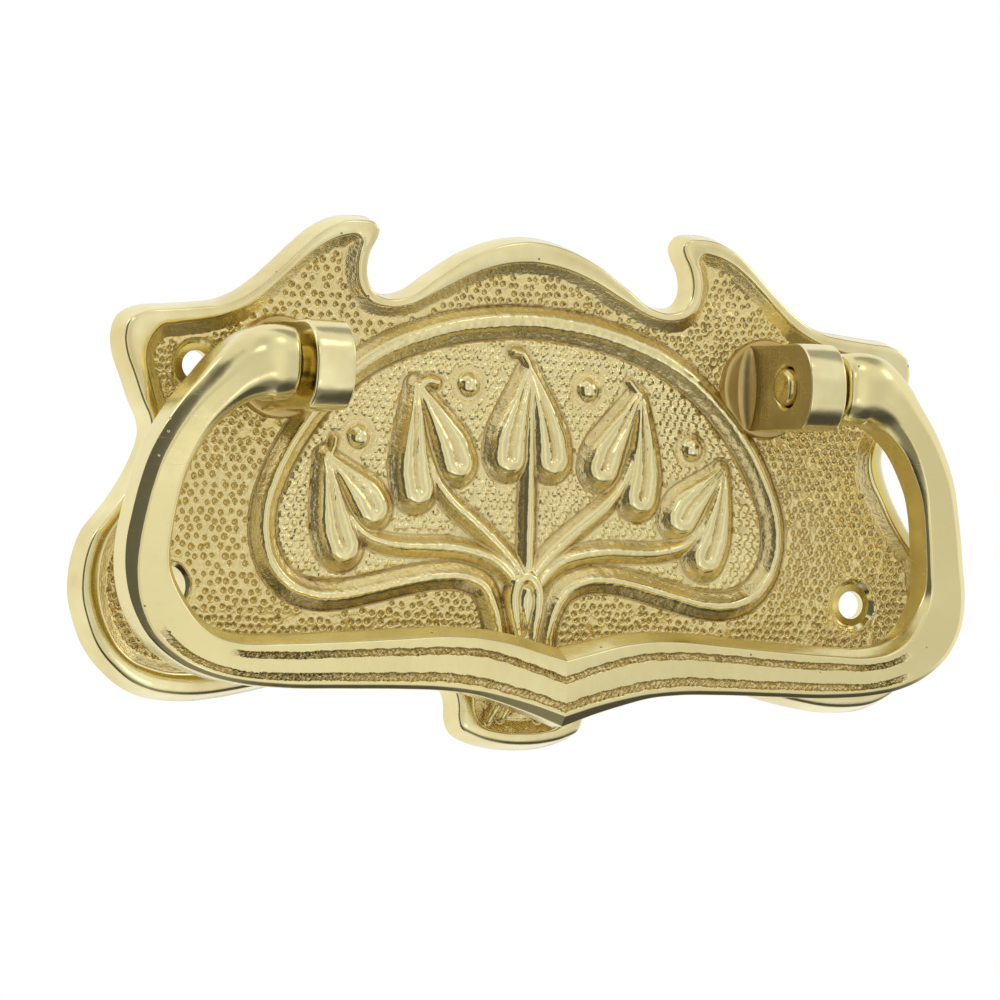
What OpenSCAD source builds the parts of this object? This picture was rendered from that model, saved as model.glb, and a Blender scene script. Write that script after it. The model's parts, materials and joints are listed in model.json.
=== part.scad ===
// Drop handle in cast brass: a carved back plate with two posts, and a bail that swings
// on two pins. Millimetres. X is to the right and Z is up. The plate's flat back lies at
// Y = 0 and its carved face looks towards -Y. Z = 0 is midway between the screw rows.
// "Out" below means the distance in front of the back.

/* [Back plate] */
// Width across the two lower lobes, on the front edge of the rim
plate_w = 135.6; // [128:0.2:150]
// Height from the foot of the tab to the crest, on the front edge of the rim
plate_h = 71.1; // [66:0.2:80]
// Thickness of the casting at its rim
rim_t = 3.4; // [3:0.1:4.4]
// How far the edge slopes outwards from the front to the back
draft = 0.85; // [0.3:0.05:1.4]
// Bright edge rounded off the front of the rim
rim_round = 0.3; // [0.1:0.05:0.5]
// Thickness of the sunk ground next to the rim
ground_t = 2; // [1.8:0.1:2.4]
// How far the ground swells forward in the middle
swell = 1.5; // [0.5:0.1:2.2]
// Width of the sloping wall between the rim and the ground
wall_w = 1; // [0.5:0.1:1.5]

/* [Carving] */
// Height of the oval frame above the ground
frame_rise = 1.4; // [0.8:0.05:1.8]
// Height of the stems above the ground
stem_rise = 1.1; // [0.5:0.05:1.4]
// Height of the buds above the ground
bud_rise = 1.5; // [0.8:0.05:2]
// Diameter of the round studs
stud_d = 2.8; // [2.2:0.1:3.6]
// Width of the raised ring round each stud
stud_ring = 0.9; // [0.6:0.1:1.4]
// Width of the drop-shaped bead where the stems meet
bead_w = 2.6; // [2:0.1:3.4]
// How much taller than wide that bead and its ring are
bead_tall = 1.25; // [1:0.05:1.6]

/* [Screw holes] */
// Spacing of the two upper holes
upper_spacing = 102; // [98:0.2:104]
// Spacing of the two lower holes
lower_spacing = 109.2; // [104:0.2:112]
// Height from the lower holes to the upper ones
hole_pitch = 30.6; // [29:0.1:32]
// Diameter of the screw holes
hole_d = 4; // [3.4:0.1:4.4]
// Diameter of the countersink at the surface
sink_d = 7.2; // [6.4:0.1:7.6]

/* [Posts] */
// Distance between the inner faces of the two posts
post_gap = 71.6; // [68:0.2:74]
// Thickness of a post along the pin
post_t = 5.8; // [5:0.1:6.6]
// Height of a post's head, top to bottom
post_h = 12.3; // [11:0.1:13]
// How far the head reaches in front of the pin's axis
post_nose = 7.6; // [6.5:0.1:8.2]
// Diameter of the round foot under a post
foot_d = 14.2; // [13.6:0.1:16]
// Thickness of that foot above the ground
foot_t = 0.9; // [0.5:0.1:1.2]
// Reach of the hollow at a post's inner face, across the foot
cove_w = 1.6; // [1:0.1:2]
// Reach of the same hollow up the post's face
cove_h = 4.2; // [3:0.1:6]

/* [Pivot] */
// Distance from the back of the plate to the pin's axis
axis_out = 13.3; // [12.6:0.1:15]
// Height of the pin's axis above the middle of the screw holes
axis_z = 15.5; // [14:0.1:16.5]
// Diameter of the pins
pin_d = 5.4; // [4.4:0.1:5.8]
// Clearance between a pin and its hole in the post, on the radius
pin_clear = 0.08; // [0.04:0.01:0.1]
// How deep a pin is driven into the bail
pin_seat = 5; // [3.6:0.2:6]
// How far a pin's rounded end stands out of the post's inner face
pin_proud = 0.5; // [0.2:0.1:1.2]
// Bevel worn round the mouth of the hole
mouth_bevel = 0.7; // [0.3:0.1:1]

/* [Bail] */
// Width over the outsides of the bail's arms
bail_w = 132.4; // [128:0.2:140]
// Distance from the pin's axis down to the lowest point of the bar
bail_drop = 48.9; // [46:0.1:54]
// Gap between a post and the end of the bail
end_gap = 1.4; // [0.6:0.1:1.8]
// Height of the bail's round end
knuckle_d = 10.2; // [9.4:0.1:11]
// How far the round end reaches in front of the pin's axis
knuckle_nose = 6.4; // [5.2:0.1:7.2]
// Depth of the bar, front to back
bar_depth = 5.8; // [5:0.1:7]
// How far the bar's face lies in front of the pin's axis
bar_front = 2.9; // [2:0.1:4]
// How much further forward the face comes at the point of the bar
point_lift = 0.5; // [0:0.1:1]
// Depth of the arms, front to back
arm_depth = 6; // [5:0.1:7]
// How far the arms' faces lie behind the bar's
arm_set = 1.6; // [0:0.1:2.4]
// Bevel along the bar's top edge
top_bevel = 1.2; // [0.6:0.1:1.6]
// Bevel along the bar's lower edge
low_bevel = 1.1; // [0.6:0.1:1.6]
// Bevel along the outside of the arms
arm_bevel = 1.5; // [0.6:0.1:2]
// Width of the two lines cut along the bar
line_w = 1.2; // [0.8:0.1:1.6]
// Depth of those lines
line_depth = 0.4; // [0.2:0.05:0.6]

/* [Hidden] */
tiny = 0.01;

// Right half of the rim's front edge, from the crest round to the foot of the tab
EDGE = [
    [0, 36.6], [5, 35.9], [10, 34], [15, 30.9], [19.5, 28], [22.3, 27.5], [24.6, 28.2],
    [25.8, 30], [26, 32], [25.4, 34.3], [24.5, 36], [24.2, 37.1], [24.9, 38], [27, 38.3],
    [30, 38], [33, 36.6], [36, 34.2], [39, 31.4], [42, 28.8], [45, 26.8], [48, 25.6], [52, 25],
    [56, 24.6], [59.5, 24.2], [61.8, 23], [62.5, 20.8], [62.2, 18.5], [61, 15.5], [59.6, 12],
    [58.4, 9.5], [58.1, 7.6], [58.5, 5.6], [59.4, 3.3], [60.6, 1], [62.2, -1.5], [64.2, -4.1],
    [66.2, -6.6], [67.3, -9.4], [67.8, -12.4], [67.7, -15.4], [66.9, -18.3], [65.8, -20.9],
    [64.4, -23], [62.6, -24.8], [60.2, -26.6], [57.4, -27.8], [54, -28.3], [50, -28.3],
    [45.5, -27.7], [41, -26.8], [36, -25.6], [30, -24.5], [22, -23.9], [15, -24.5], [12, -25.5],
    [10.4, -27.2], [9.9, -29], [9.8, -31], [9.2, -32.4], [7.5, -33.3], [4, -34.2], [0, -34.5]];

// Outline and carving are drawn at one size and stretched to the size above. Their zero line
// lies a little below the middle of the screw holes.
drawn_w = 2 * max([for (p = EDGE) p[0]]);
drawn_h = EDGE[0][1] - EDGE[len(EDGE) - 1][1];
zero_line = -1.85;
stretch_x = plate_w / drawn_w;
stretch_z = plate_h / drawn_h;

// Right half of the rim's inner edge, where the wall down to the ground begins
INNER = [
    [0, 33.6], [5, 33], [10, 31.3], [15, 28.8], [19, 27], [22.5, 26.4], [25.3, 27],
    [27, 28.8], [27.6, 31.5], [27.3, 34], [26.9, 35.6], [27.4, 36.1], [29.2, 36], [31.7, 35.2],
    [34.5, 33.5], [37.5, 31], [40.5, 28.3], [43.5, 25.8], [47, 24.1], [51, 23.1], [55, 22.5],
    [56.9, 22.1], [57.8, 21.2], [58.9, 18.7], [58.9, 17.8], [58.4, 15.3], [57.3, 12], [56.1, 9.2],
    [55.8, 6.7], [56.4, 4.4], [57.8, 2], [59.5, -1], [61.5, -3.8], [63.5, -6.2], [64.8, -9.3],
    [65.2, -12.5], [64.9, -15.8], [63.6, -19.4], [61.8, -22.1], [59.9, -23.6], [57.5, -24.5],
    [55, -25.1], [51, -25.2], [46, -24.7], [39, -23.3], [34, -22.2], [29, -21.6], [24, -21.3],
    [19, -21.4], [14, -21.9], [10.5, -23], [8.2, -25], [7.4, -27.5], [7.1, -30], [6, -31.7],
    [3.5, -32.5], [0, -32.7]];

// Right half of the oval frame's ridge, from the crown down to the bead and the stalk
FRAME = [
    [0, 25.4], [5.5, 25.1], [11, 24.3], [16, 23], [21, 21.2], [25.5, 18.8], [29.5, 15.7],
    [33, 12.2], [36.5, 7.5], [39, 2.8], [40.6, -2], [40.7, -6], [39.6, -9.6], [37, -12.6],
    [33.6, -14], [29, -14.1], [24, -13.1], [19, -11.9], [14, -11], [10, -11], [7, -12.2],
    [5.4, -15], [4.4, -18.5]];
// The frame's section: distance inwards from the ridge, and height as a share of its rise
FRAME_SECTION = [[2.6, -0.1], [1.3, 0.45], [0.6, 1], [-0.6, 1], [-1.5, 0.4], [-3.2, -0.1]];

// Stems from the bead to the buds: [x, z, half width at the foot, share of the rise]
MIDDLE_STEM = [[0, -9.5, 1.4, 1], [0, -3, 1.2, 1], [0, 5, 1, 1], [0, 12, 0.8, 1], [0, 16, 0.5, 0.9]];
UPPER_STEM = [
    [2.2, -8.7, 1.3, 0.9], [5.5, -5.8, 1.3, 1], [9, -3, 1.2, 1], [12.5, -0.2, 1.1, 1],
    [14.6, 2.4, 1, 1], [16.2, 6, 0.9, 1], [17.2, 10, 0.7, 1], [17.6, 13, 0.5, 0.9]];
LOWER_STEM = [
    [3, -10, 1.3, 0.9], [5.5, -8.2, 1.3, 1], [8.5, -7.3, 1.3, 1], [13, -6.9, 1.2, 1],
    [18, -6.9, 1.2, 1], [22, -6.6, 1.1, 1], [25.5, -5.5, 1, 1], [28, -3, 0.8, 1],
    [30, 0.5, 0.6, 1], [31, 3, 0.5, 0.9]];
// Strands of the stalk below the bead, which end as small tails on the tab
OUTER_STRAND = [
    [4.5, -12.5, 0.9, 0.9], [3.4, -16, 1, 1], [2.9, -20, 1, 1], [3.1, -25, 1, 1],
    [4.2, -29, 0.9, 1], [5.4, -31.6, 0.5, 0.6]];
INNER_STRAND = [
    [0.8, -15.8, 0.7, 0.9], [1.1, -20, 0.9, 1], [1.4, -25, 0.9, 1], [2.4, -29, 0.8, 1],
    [3.4, -31.4, 0.5, 0.6]];
STRAND_SECTION = [[1, -0.1], [0.6, 0.7], [0, 1], [-0.6, 0.7], [-1, -0.1]];

// A bud's tip, its foot, its half width, and how much further its outer lobe reaches
BUDS = [
    [[0, 18.8], [0, 4.2], 5.8, 0],
    [[17.8, 16], [14.2, 1.2], 5.8, 0.15],
    [[31.7, 5.6], [26.1, -5.9], 5.2, 0.23]];
// Half of a bud: [share of its length, share of its half width, half width of the lobe,
// share of the rise]
LOBE = [
    [0, 0.03, 0.3, 0.5], [0.22, 0.2, 0.9, 0.8], [0.48, 0.41, 1.7, 1], [0.72, 0.57, 2.3, 1],
    [0.9, 0.6, 2.15, 1], [1.02, 0.58, 0.9, 0.5]];
LOBE_SECTION = [
    [1, -0.1], [0.75, 0.75], [0.3, 1], [0, 0.5], [-0.3, 1], [-0.75, 0.75], [-1, -0.1]];
// Ledge that runs round each lobe, at the foot of it
ledge_w = 1;
ledge_share = 0.35;
LEDGE_SECTION = [[1, -0.1], [0.8, 1], [-0.8, 1], [-1, -0.1]];

// Middles of the studs on the right half
STUDS = [[9.5, 16.1], [26.6, 8.2]];
bead_z = -13.4;

// Right half of the bail seen from the front, from the point of the bar to the start of its
// round end: [x, z below the axis, half width, share of the arm, share of the round end's
// reach, share of its roundness]
BAIL = [
    [0, -43.4, 5.5, 0, 0, 0], [4.5, -42.05, 5.1, 0, 0, 0], [9, -40.85, 4.9, 0, 0, 0],
    [13, -40.1, 4.65, 0, 0, 0], [18, -39.75, 4.45, 0, 0, 0], [25, -39.9, 4.15, 0, 0, 0],
    [34, -40.25, 3.9, 0, 0, 0], [43, -40.5, 3.7, 0, 0, 0], [49.6, -40.3, 3.4, 0, 0, 0],
    [53.2, -39.6, 3.4, 0, 0, 0], [56.8, -38, 3.6, 0.1, 0, 0], [60.2, -34.9, 3.9, 0.3, 0, 0],
    [61.9, -32, 3.75, 0.5, 0, 0], [62.8, -28.6, 3.4, 0.8, 0, 0], [62.8, -25.2, 3.2, 1, 0, 0],
    [62.3, -21.4, 3.1, 1, 0.05, 0], [61.6, -17.6, 3, 1, 0.12, 0],
    [60.6, -14, 3, 1, 0.24, 0.1], [59, -10.6, 3, 1, 0.38, 0.25],
    [56.8, -7.2, 3.1, 1, 0.54, 0.4], [54.1, -4.2, 3.5, 1, 0.7, 0.6]];
drawn_bail_w = 2 * max([for (p = BAIL) p[0] + p[2]]);
drawn_bail_drop = BAIL[0][2] - BAIL[0][1];
// Half the length of the bar over which its face comes forward to the point
point_run = 24;
// How far in from the arm's outside the two cut lines run out, and over what length
low_line_end = 7.2;
high_line_end = 12.2;
line_fade = 3;

root = 0.7;
cove_side = 0.3;
curve_step = 3.8;
axis_y = -axis_out;
hole_bore_d = pin_d + 2 * pin_clear;
post_in = post_gap / 2;
post_out = post_in + post_t;
knuckle_end = post_out + end_gap;
BRASS = [0.80, 0.70, 0.42];
PIN_BRASS = [0.66, 0.55, 0.32];

// Thickness of the ground at a place on the plate
function ground(x, z) =
    let (u = x / stretch_x / 50, v = ((z - zero_line) / stretch_z + 6) / 30)
    ground_t + swell * max(0, 1 - u * u - v * v);

// Where a drawn point lies on the plate. Any further values in it are carried along.
function drawn(p) = [
    for (q = p) [q[0] * stretch_x, q[1] * stretch_z + zero_line, for (i = [2:1:len(q) - 1]) q[i]]];
function flip(p) = [for (q = p) [-q[0], for (i = [1:len(q) - 1]) q[i]]];
function backwards(p) = [for (i = [len(p) - 1:-1:0]) p[i]];
function but_first(p) = [for (i = [1:1:len(p) - 1]) p[i]];
function but_last(p) = [for (i = [0:1:len(p) - 2]) p[i]];
function mirrored_loop(half) = concat(half, flip(backwards(but_first(but_last(half)))));

// Smooth curve through hand-set points, as cubics that share their slopes
function span(a, b) = max(tiny, norm([b[0] - a[0], b[1] - a[1]]));
function pick(p, i, closed) = closed ? p[(i + len(p)) % len(p)] : p[max(0, min(len(p) - 1, i))];
function slope(p, i, closed) =
    let (a = pick(p, i - 1, closed), b = pick(p, i, closed), c = pick(p, i + 1, closed))
    let (before = span(a, b), after = span(b, c))
    closed || (i > 0 && i < len(p) - 1)
        ? ((b - a) / before * after + (c - b) / after * before) / (before + after)
        : (c - a) / max(before, after);
function cubic(a, b, slope_a, slope_b, t) =
    a * (2 * t * t * t - 3 * t * t + 1) + slope_a * (t * t * t - 2 * t * t + t)
    + b * (3 * t * t - 2 * t * t * t) + slope_b * (t * t * t - t * t);
function curve(p, closed = false, step = curve_step) = [
    for (i = [0:closed ? len(p) - 1 : len(p) - 2])
        let (a = p[i], b = pick(p, i + 1, closed), d = span(a, b), n = max(1, round(d / step)))
        for (k = [0:n - 1])
            cubic(a, b, slope(p, i, closed) * d, slope(p, i + 1, closed) * d, k / n),
    if (!closed) p[len(p) - 1]];

// Unit vector to the right of the direction of travel, at a point of a path
function right_of(p, i, closed) =
    let (d = pick(p, i + 1, closed) - pick(p, i - 1, closed), l = max(tiny, norm([d[0], d[1]])))
    [d[1] / l, -d[0] / l];
function inset(loop, d) = [
    for (i = [0:len(loop) - 1])
        let (n = right_of(loop, i, true)) [loop[i][0] + d * n[0], loop[i][1] + d * n[1]]];
function at_out(loop, out) = [for (p = loop) [p[0], -out, p[1]]];

edge_loop = curve(mirrored_loop(drawn(EDGE)), true);
inner_loop = curve(mirrored_loop(drawn(INNER)), true);

// Solid through a row of rings that all have as many points
module loft(rings) {
    m = len(rings[0]);
    last = len(rings) - 1;
    polyhedron(
        points = [for (r = rings) for (p = r) p],
        faces = concat(
            [[for (i = [m - 1:-1:0]) i]],
            [for (k = [0:last - 1]) for (i = [0:m - 1])
                let (a = k * m + i, b = k * m + (i + 1) % m) [a, b, b + m]],
            [for (k = [0:last - 1]) for (i = [0:m - 1])
                let (a = k * m + i, b = k * m + (i + 1) % m) [a, b + m, a + m]],
            [[for (i = [0:m - 1]) last * m + i]]));
}

// Plate with its sloping edge, before anything is sunk into it
module blank() {
    loft([
        at_out(inset(edge_loop, -draft), 0),
        at_out(edge_loop, rim_t - rim_round),
        at_out(inset(edge_loop, rim_round), rim_t)]);
}

// What is sunk inside the rim, with its sloping wall. The ground then refills its floor.
module sunk_field() {
    floor_out = ground_t - root;
    lean = wall_w / (rim_t - ground_t);
    loft([
        at_out(inset(inner_loop, lean * (rim_t - floor_out)), floor_out),
        at_out(inset(inner_loop, -lean), rim_t + 1)]);
}

// Swelling ground, as a block that reaches back into the plate
module swelling() {
    columns = 14;
    rows = 8;
    w = drawn_w * stretch_x;
    low = -36 * stretch_z + zero_line;
    h = 74 * stretch_z;
    loft([
        for (i = [0:columns])
            let (x = w * (i / columns - 0.5))
            concat(
                [[x, -tiny, low]],
                [for (k = [0:rows]) let (z = low + h * k / rows) [x, -ground(x, z), z]],
                [[x, -tiny, low + h]])]);
}

module field() {
    intersection() {
        swelling();
        rotate([90, 0, 0]) linear_extrude(rim_t + swell) polygon(inner_loop);
    }
}

// Raised strand along a path of [x, z, half width, share of the rise]
function on_ground(p, n, across, up) =
    let (x = p[0] + n[0] * across, z = p[1] + n[1] * across) [x, -(ground(x, z) + up), z];
module strand(path, section, rise, step = 3.4) {
    c = curve(path, false, step);
    loft([
        for (i = [0:len(c) - 1])
            let (p = c[i], n = right_of(c, i, false), w = p[2])
            concat(
                [on_ground(p, n, section[0][0] * w, -root)],
                [for (q = section) on_ground(p, n, q[0] * w, q[1] * rise * p[3])],
                [on_ground(p, n, section[len(section) - 1][0] * w, -root)])]);
}

module oval_frame() {
    half = [for (p = drawn(FRAME)) [p[0], p[1], 1, 1]];
    strand(concat(backwards(flip(but_first(half))), half), FRAME_SECTION, frame_rise, 5);
}

// One lobe of a bud with the ledge round it. Side is 1 for the right lobe, -1 for the left.
module bud_half(bud, side) {
    ends = drawn([bud[0], bud[1]]);
    long = norm(ends[1] - ends[0]);
    down = (ends[1] - ends[0]) / long;
    out = [-down[1], down[0]] * side;
    // The right lobe laps a little over the left one at the tip
    lap = 0.01 * (1 - side);
    function place(p) =
        let (along = p[0] * (1 + side * bud[3] * p[1]) + lap)
        let (q = ends[0] + down * long * along + out * bud[2] * p[1])
        [q[0], q[1], p[2], p[3]];
    strand([for (p = LOBE) place(p)], LOBE_SECTION, bud_rise, 2.8);
    // The two ledges differ a hair in height, so that their tops cross cleanly at the tip
    strand(
        [for (p = LOBE) place([p[0] * 1.06, p[1], p[2] + ledge_w, 1 + 0.06 * side])],
        LEDGE_SECTION, bud_rise * ledge_share);
}

module stud(x, z) {
    r = stud_d / 2;
    translate([x, -ground(x, z), z]) rotate([90, 0, 0]) rotate_extrude($fn = 14)
        polygon([
            [0, -root], [0, 0.75 * r], [0.5 * r, 0.66 * r], [0.88 * r, 0.34 * r], [r, 0.05],
            [r + 0.35 * stud_ring, 0.5], [r + stud_ring, -0.1], [r + stud_ring, -root]]);
}

// Drop-shaped bead in its raised ring
module bead() {
    r = bead_w / 2;
    z = bead_z * stretch_z + zero_line;
    translate([0, -ground(0, z), z]) rotate([90, 0, 0]) scale([1, bead_tall, 1])
        rotate_extrude($fn = 18)
            polygon([
                [0, -root], [0, 1.5], [0.55 * r, 1.35], [0.9 * r, 0.8], [r + 0.1, 0.5],
                [r + 0.5, 1.1], [r + 0.95, 1], [r + 1.6, -0.1], [r + 1.6, -root]]);
}

module right_carving() {
    for (path = [UPPER_STEM, LOWER_STEM, OUTER_STRAND, INNER_STRAND])
        strand(drawn(path), STRAND_SECTION, stem_rise);
    for (bud = [BUDS[1], BUDS[2]]) for (side = [-1, 1]) bud_half(bud, side);
    for (p = drawn(STUDS)) stud(p[0], p[1]);
}

module carving() {
    oval_frame();
    strand(drawn(MIDDLE_STEM), STRAND_SECTION, stem_rise, 6);
    for (side = [-1, 1]) bud_half(BUDS[0], side);
    bead();
    right_carving();
    mirror([1, 0, 0]) right_carving();
}

// Side view of a post's head: round above, fuller below, with a crisp lower corner
function post_side() =
    let (r = post_h / 2, crown = 0.64 * post_nose, chin = 0.38 * post_nose, arc = 8)
    concat(
        [[-ground_t / 2, axis_z - r], [-ground_t / 2, axis_z + r]],
        [for (k = [0:arc])
            let (a = 90 * k / arc)
            [-(axis_out + post_nose - crown * (1 - sin(a))), axis_z + r * cos(a)]],
        [for (k = [1:5])
            let (t = k / 5)
            [-(axis_out + post_nose - chin * t * t * t), axis_z - r * t]]);

module post() {
    middle = post_in + post_t / 2;
    g = ground(middle, axis_z);
    translate([post_in, 0, 0]) rotate([90, 0, 90]) linear_extrude(post_t) polygon(post_side());
    translate([middle, -tiny, axis_z]) rotate([90, 0, 0])
        cylinder(h = g + foot_t, d = foot_d, $fn = 28);
    intersection() {
        translate([middle, -tiny, axis_z]) rotate([90, 0, 0])
            cylinder(h = axis_out, d = foot_d, $fn = 28);
        translate([0, 0, axis_z - post_h / 2 + cove_side]) linear_extrude(post_h - 2 * cove_side)
            polygon(concat(
                [[post_in + 1, -g], [post_in - cove_w, -g]],
                [for (k = [0:6])
                    let (a = 15 * k, reach = cove_w + root)
                    [post_in + root - reach * (1 - sin(a)),
                        -(g + foot_t + cove_h * (1 - cos(a)))]],
                [[post_in + 1, -(g + foot_t + cove_h)]]));
    }
}

module pin_hole() {
    translate([post_in - 4, axis_y, axis_z]) rotate([0, 90, 0])
        cylinder(h = post_t + 6, d = hole_bore_d, $fn = 28);
    translate([post_in - tiny, axis_y, axis_z]) rotate([0, 90, 0])
        cylinder(h = mouth_bevel, d1 = hole_bore_d + 2 * mouth_bevel, d2 = hole_bore_d, $fn = 28);
}

module screw_hole(x, z) {
    sink = (sink_d - hole_d) / 2;
    seat = ground(x, z) - sink;
    translate([x, 1, z]) rotate([90, 0, 0]) cylinder(h = rim_t + 4, d = hole_d, $fn = 24);
    translate([x, -seat, z]) rotate([90, 0, 0])
        cylinder(h = sink + 1, d1 = hole_d, d2 = sink_d + 2, $fn = 24);
}

module casting() {
    difference() {
        blank();
        sunk_field();
    }
    field();
    carving();
    post();
    mirror([1, 0, 0]) post();
}

module backplate() {
    color(BRASS) difference() {
        resize([plate_w + 2 * draft, 0, 0]) casting();
        pin_hole();
        mirror([1, 0, 0]) pin_hole();
        for (side = [-1, 1]) {
            screw_hole(side * upper_spacing / 2, hole_pitch / 2);
            screw_hole(side * lower_spacing / 2, -hole_pitch / 2);
        }
    }
}

// The bail's middle line, with its round end added
bail_half = curve(concat(
    [for (p = BAIL)
        [p[0] * bail_w / drawn_bail_w, axis_z + p[1] * bail_drop / drawn_bail_drop,
            p[2], p[3], p[4], p[5]]],
    [[knuckle_end + 8, axis_z - 1.7, knuckle_d * 0.42, 1, 0.86, 0.8],
        [knuckle_end + 4.4, axis_z - 0.2, knuckle_d * 0.49, 1, 1, 1],
        [knuckle_end, axis_z, knuckle_d / 2, 1, 1, 1]]), false, 4);
bail_path = concat(backwards(flip(but_first(bail_half))), bail_half);

// Which way "outwards" points at a place on the bail. Upright at the point of the bar, so
// that the point stays sharp, and square to the path from there on.
function bail_out(i) =
    let (n = right_of(bail_path, i, false), lean = min(1, abs(bail_path[i][0]) / 16))
    let (v = i == 0 || i == len(bail_path) - 1 ? [0, 1] : [n[0] * lean, n[1]])
    v / norm(v);

// Points round a corner whose edges lie at a and b: bevelled, or round as roundness grows
function corner(a, b, cut_a, cut_b, roundness, steps = 3) = [
    for (k = [0:steps])
        let (t = k / steps, arc = [sin(90 * t), 1 - cos(90 * t)])
        let (m = arc * roundness + [t, t] * (1 - roundness))
        [a - cut_a * (1 - m[0]), b - cut_b * m[1]]];

// One line cut into the face, at a share of the face's width from its outer edge
function cut_line(outer, face_w, share, depth) =
    let (c = outer - face_w * share, h = min(line_w / 2, face_w * 0.15))
    [[c + h, 0], [c + h / 2, -depth], [c - h / 2, -depth], [c - h, 0]];

// Section of the bail at one place: points [distance outwards, distance in front of the axis]
function bail_section(p) =
    let (w = p[2], arm = p[3], reach = p[4], ball = p[5], x = abs(p[0]))
    let (lift = point_lift * max(0, 1 - x / point_run), arm_front = bar_front - arm_set)
    let (front = bar_front + lift - arm_set * arm + (knuckle_nose - arm_front) * reach)
    let (deep = bar_depth + (arm_depth - bar_depth) * arm + (knuckle_d - arm_depth) * ball)
    let (half = deep / 2, middle = front - half)
    let (out_cut = (low_bevel + (arm_bevel - low_bevel) * arm) * (1 - ball) + w * 0.9 * ball)
    let (in_cut = top_bevel * (1 - 0.35 * arm) * (1 - ball) + w * 0.9 * ball)
    let (back_cut = 1.2 * (1 - ball) + w * 0.8 * ball)
    let (face_w = 2 * w - out_cut - in_cut)
    let (to_side = bail_w / 2 - x, line = line_depth * (1 - ball))
    let (low_line = line * max(0, min(1, (to_side - low_line_end) / line_fade)))
    let (high_line = line * max(0, min(1, (to_side - high_line_end) / line_fade)))
    [for (q = concat(
        [for (q = corner(w, half, back_cut, back_cut, 1, 2)) [q[0], -q[1]]],
        backwards(corner(w, half, out_cut, out_cut * 0.7, ball)),
        [for (q = concat(
            cut_line(w - out_cut, face_w, 0.18, low_line),
            cut_line(w - out_cut, face_w, 0.7, high_line))) [q[0], half + q[1]]],
        [for (q = corner(w, half, in_cut, in_cut * 0.9, ball)) [-q[0], q[1]]],
        [for (q = backwards(corner(w, half, back_cut, back_cut, 1, 2))) [-q[0], -q[1]]]))
        [q[0], q[1] + middle]];

module bail() {
    color(BRASS) difference() {
        loft([
            for (i = [0:len(bail_path) - 1])
                let (p = bail_path[i], n = bail_out(i))
                [for (q = bail_section(p)) [p[0] + n[0] * q[0], axis_y - q[1], p[1] + n[1] * q[0]]]]);
        for (side = [-1, 1])
            translate([side * (knuckle_end - 1), axis_y, axis_z]) rotate([0, side * 90, 0])
                cylinder(h = pin_seat + 1, d = pin_d, $fn = 28);
    }
}

// Pin on the right, from its rounded end between the posts to its seat in the bail
module pivot_pin() {
    nose = 0.6;
    start = post_in - pin_proud;
    color(PIN_BRASS) translate([start, axis_y, axis_z]) rotate([0, 90, 0]) {
        cylinder(h = nose, d1 = pin_d - 2 * nose, d2 = pin_d, $fn = 28);
        translate([0, 0, nose])
            cylinder(h = knuckle_end + pin_seat - start - nose, d = pin_d, $fn = 28);
    }
}

module pivot_pin_right() { pivot_pin(); }
module pivot_pin_left() { mirror([1, 0, 0]) pivot_pin(); }

backplate();
bail();
pivot_pin_left();
pivot_pin_right();
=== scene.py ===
# %% [markdown]
# # A cast brass drop handle
#
# The object is a cabinet pull: a carved back plate with two posts, and a bail that swings
# on two pins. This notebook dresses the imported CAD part. The CAD part gives every place and
# size, and Blender adds what a mould maker, a carver and a polisher add: the punched ground,
# the hollowed buds, the rounded edges and the shine.
#
# Lengths are written in millimetres and turned to metres when a mesh is made. X is to the
# right and Z is up. The plate's flat back lies at Y = 0 and its carved face looks towards -Y.
# "Out" means the distance in front of the back.

import json

import bpy
import numpy as np
from mathutils import Matrix, Vector

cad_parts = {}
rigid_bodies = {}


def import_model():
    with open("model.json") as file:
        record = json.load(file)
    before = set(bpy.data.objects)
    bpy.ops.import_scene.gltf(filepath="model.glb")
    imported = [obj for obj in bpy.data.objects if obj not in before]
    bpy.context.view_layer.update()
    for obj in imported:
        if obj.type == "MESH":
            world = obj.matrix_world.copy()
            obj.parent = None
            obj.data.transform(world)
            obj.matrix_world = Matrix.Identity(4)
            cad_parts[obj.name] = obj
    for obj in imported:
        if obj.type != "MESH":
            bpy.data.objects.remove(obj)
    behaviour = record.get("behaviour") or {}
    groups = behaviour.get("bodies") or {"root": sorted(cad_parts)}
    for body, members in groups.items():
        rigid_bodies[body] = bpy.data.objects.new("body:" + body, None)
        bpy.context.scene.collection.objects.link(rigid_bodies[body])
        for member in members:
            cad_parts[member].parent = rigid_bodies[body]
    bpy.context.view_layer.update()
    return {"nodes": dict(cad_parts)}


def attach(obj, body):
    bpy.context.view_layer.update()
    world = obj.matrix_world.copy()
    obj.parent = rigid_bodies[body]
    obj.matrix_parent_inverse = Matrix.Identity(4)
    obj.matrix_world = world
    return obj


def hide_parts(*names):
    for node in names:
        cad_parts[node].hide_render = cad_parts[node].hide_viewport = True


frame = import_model()
MM = 0.001
print("nodes:", ", ".join(sorted(frame["nodes"])))

# %% [markdown]
# ## Camera
#
# The camera comes first. It stands 0.85 m away, to
# the left of the handle and a little below its middle, and looks 27 degrees to the right. The
# long lens keeps the far end of the bail nearly as large as the near one, as the photograph
# does. The sensor is 36 mm wide and the picture 1000 pixels, so the lens follows from the
# focal length in pixels.

# %% Camera
focal_px, picture_px, sensor_mm = 6000, 1000, 36
yaw, pitch, roll = np.radians([27.243, 0.949, 1.55])
distance = 845.37
aim = np.array([-4.361, -3.4, -1.847])

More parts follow.
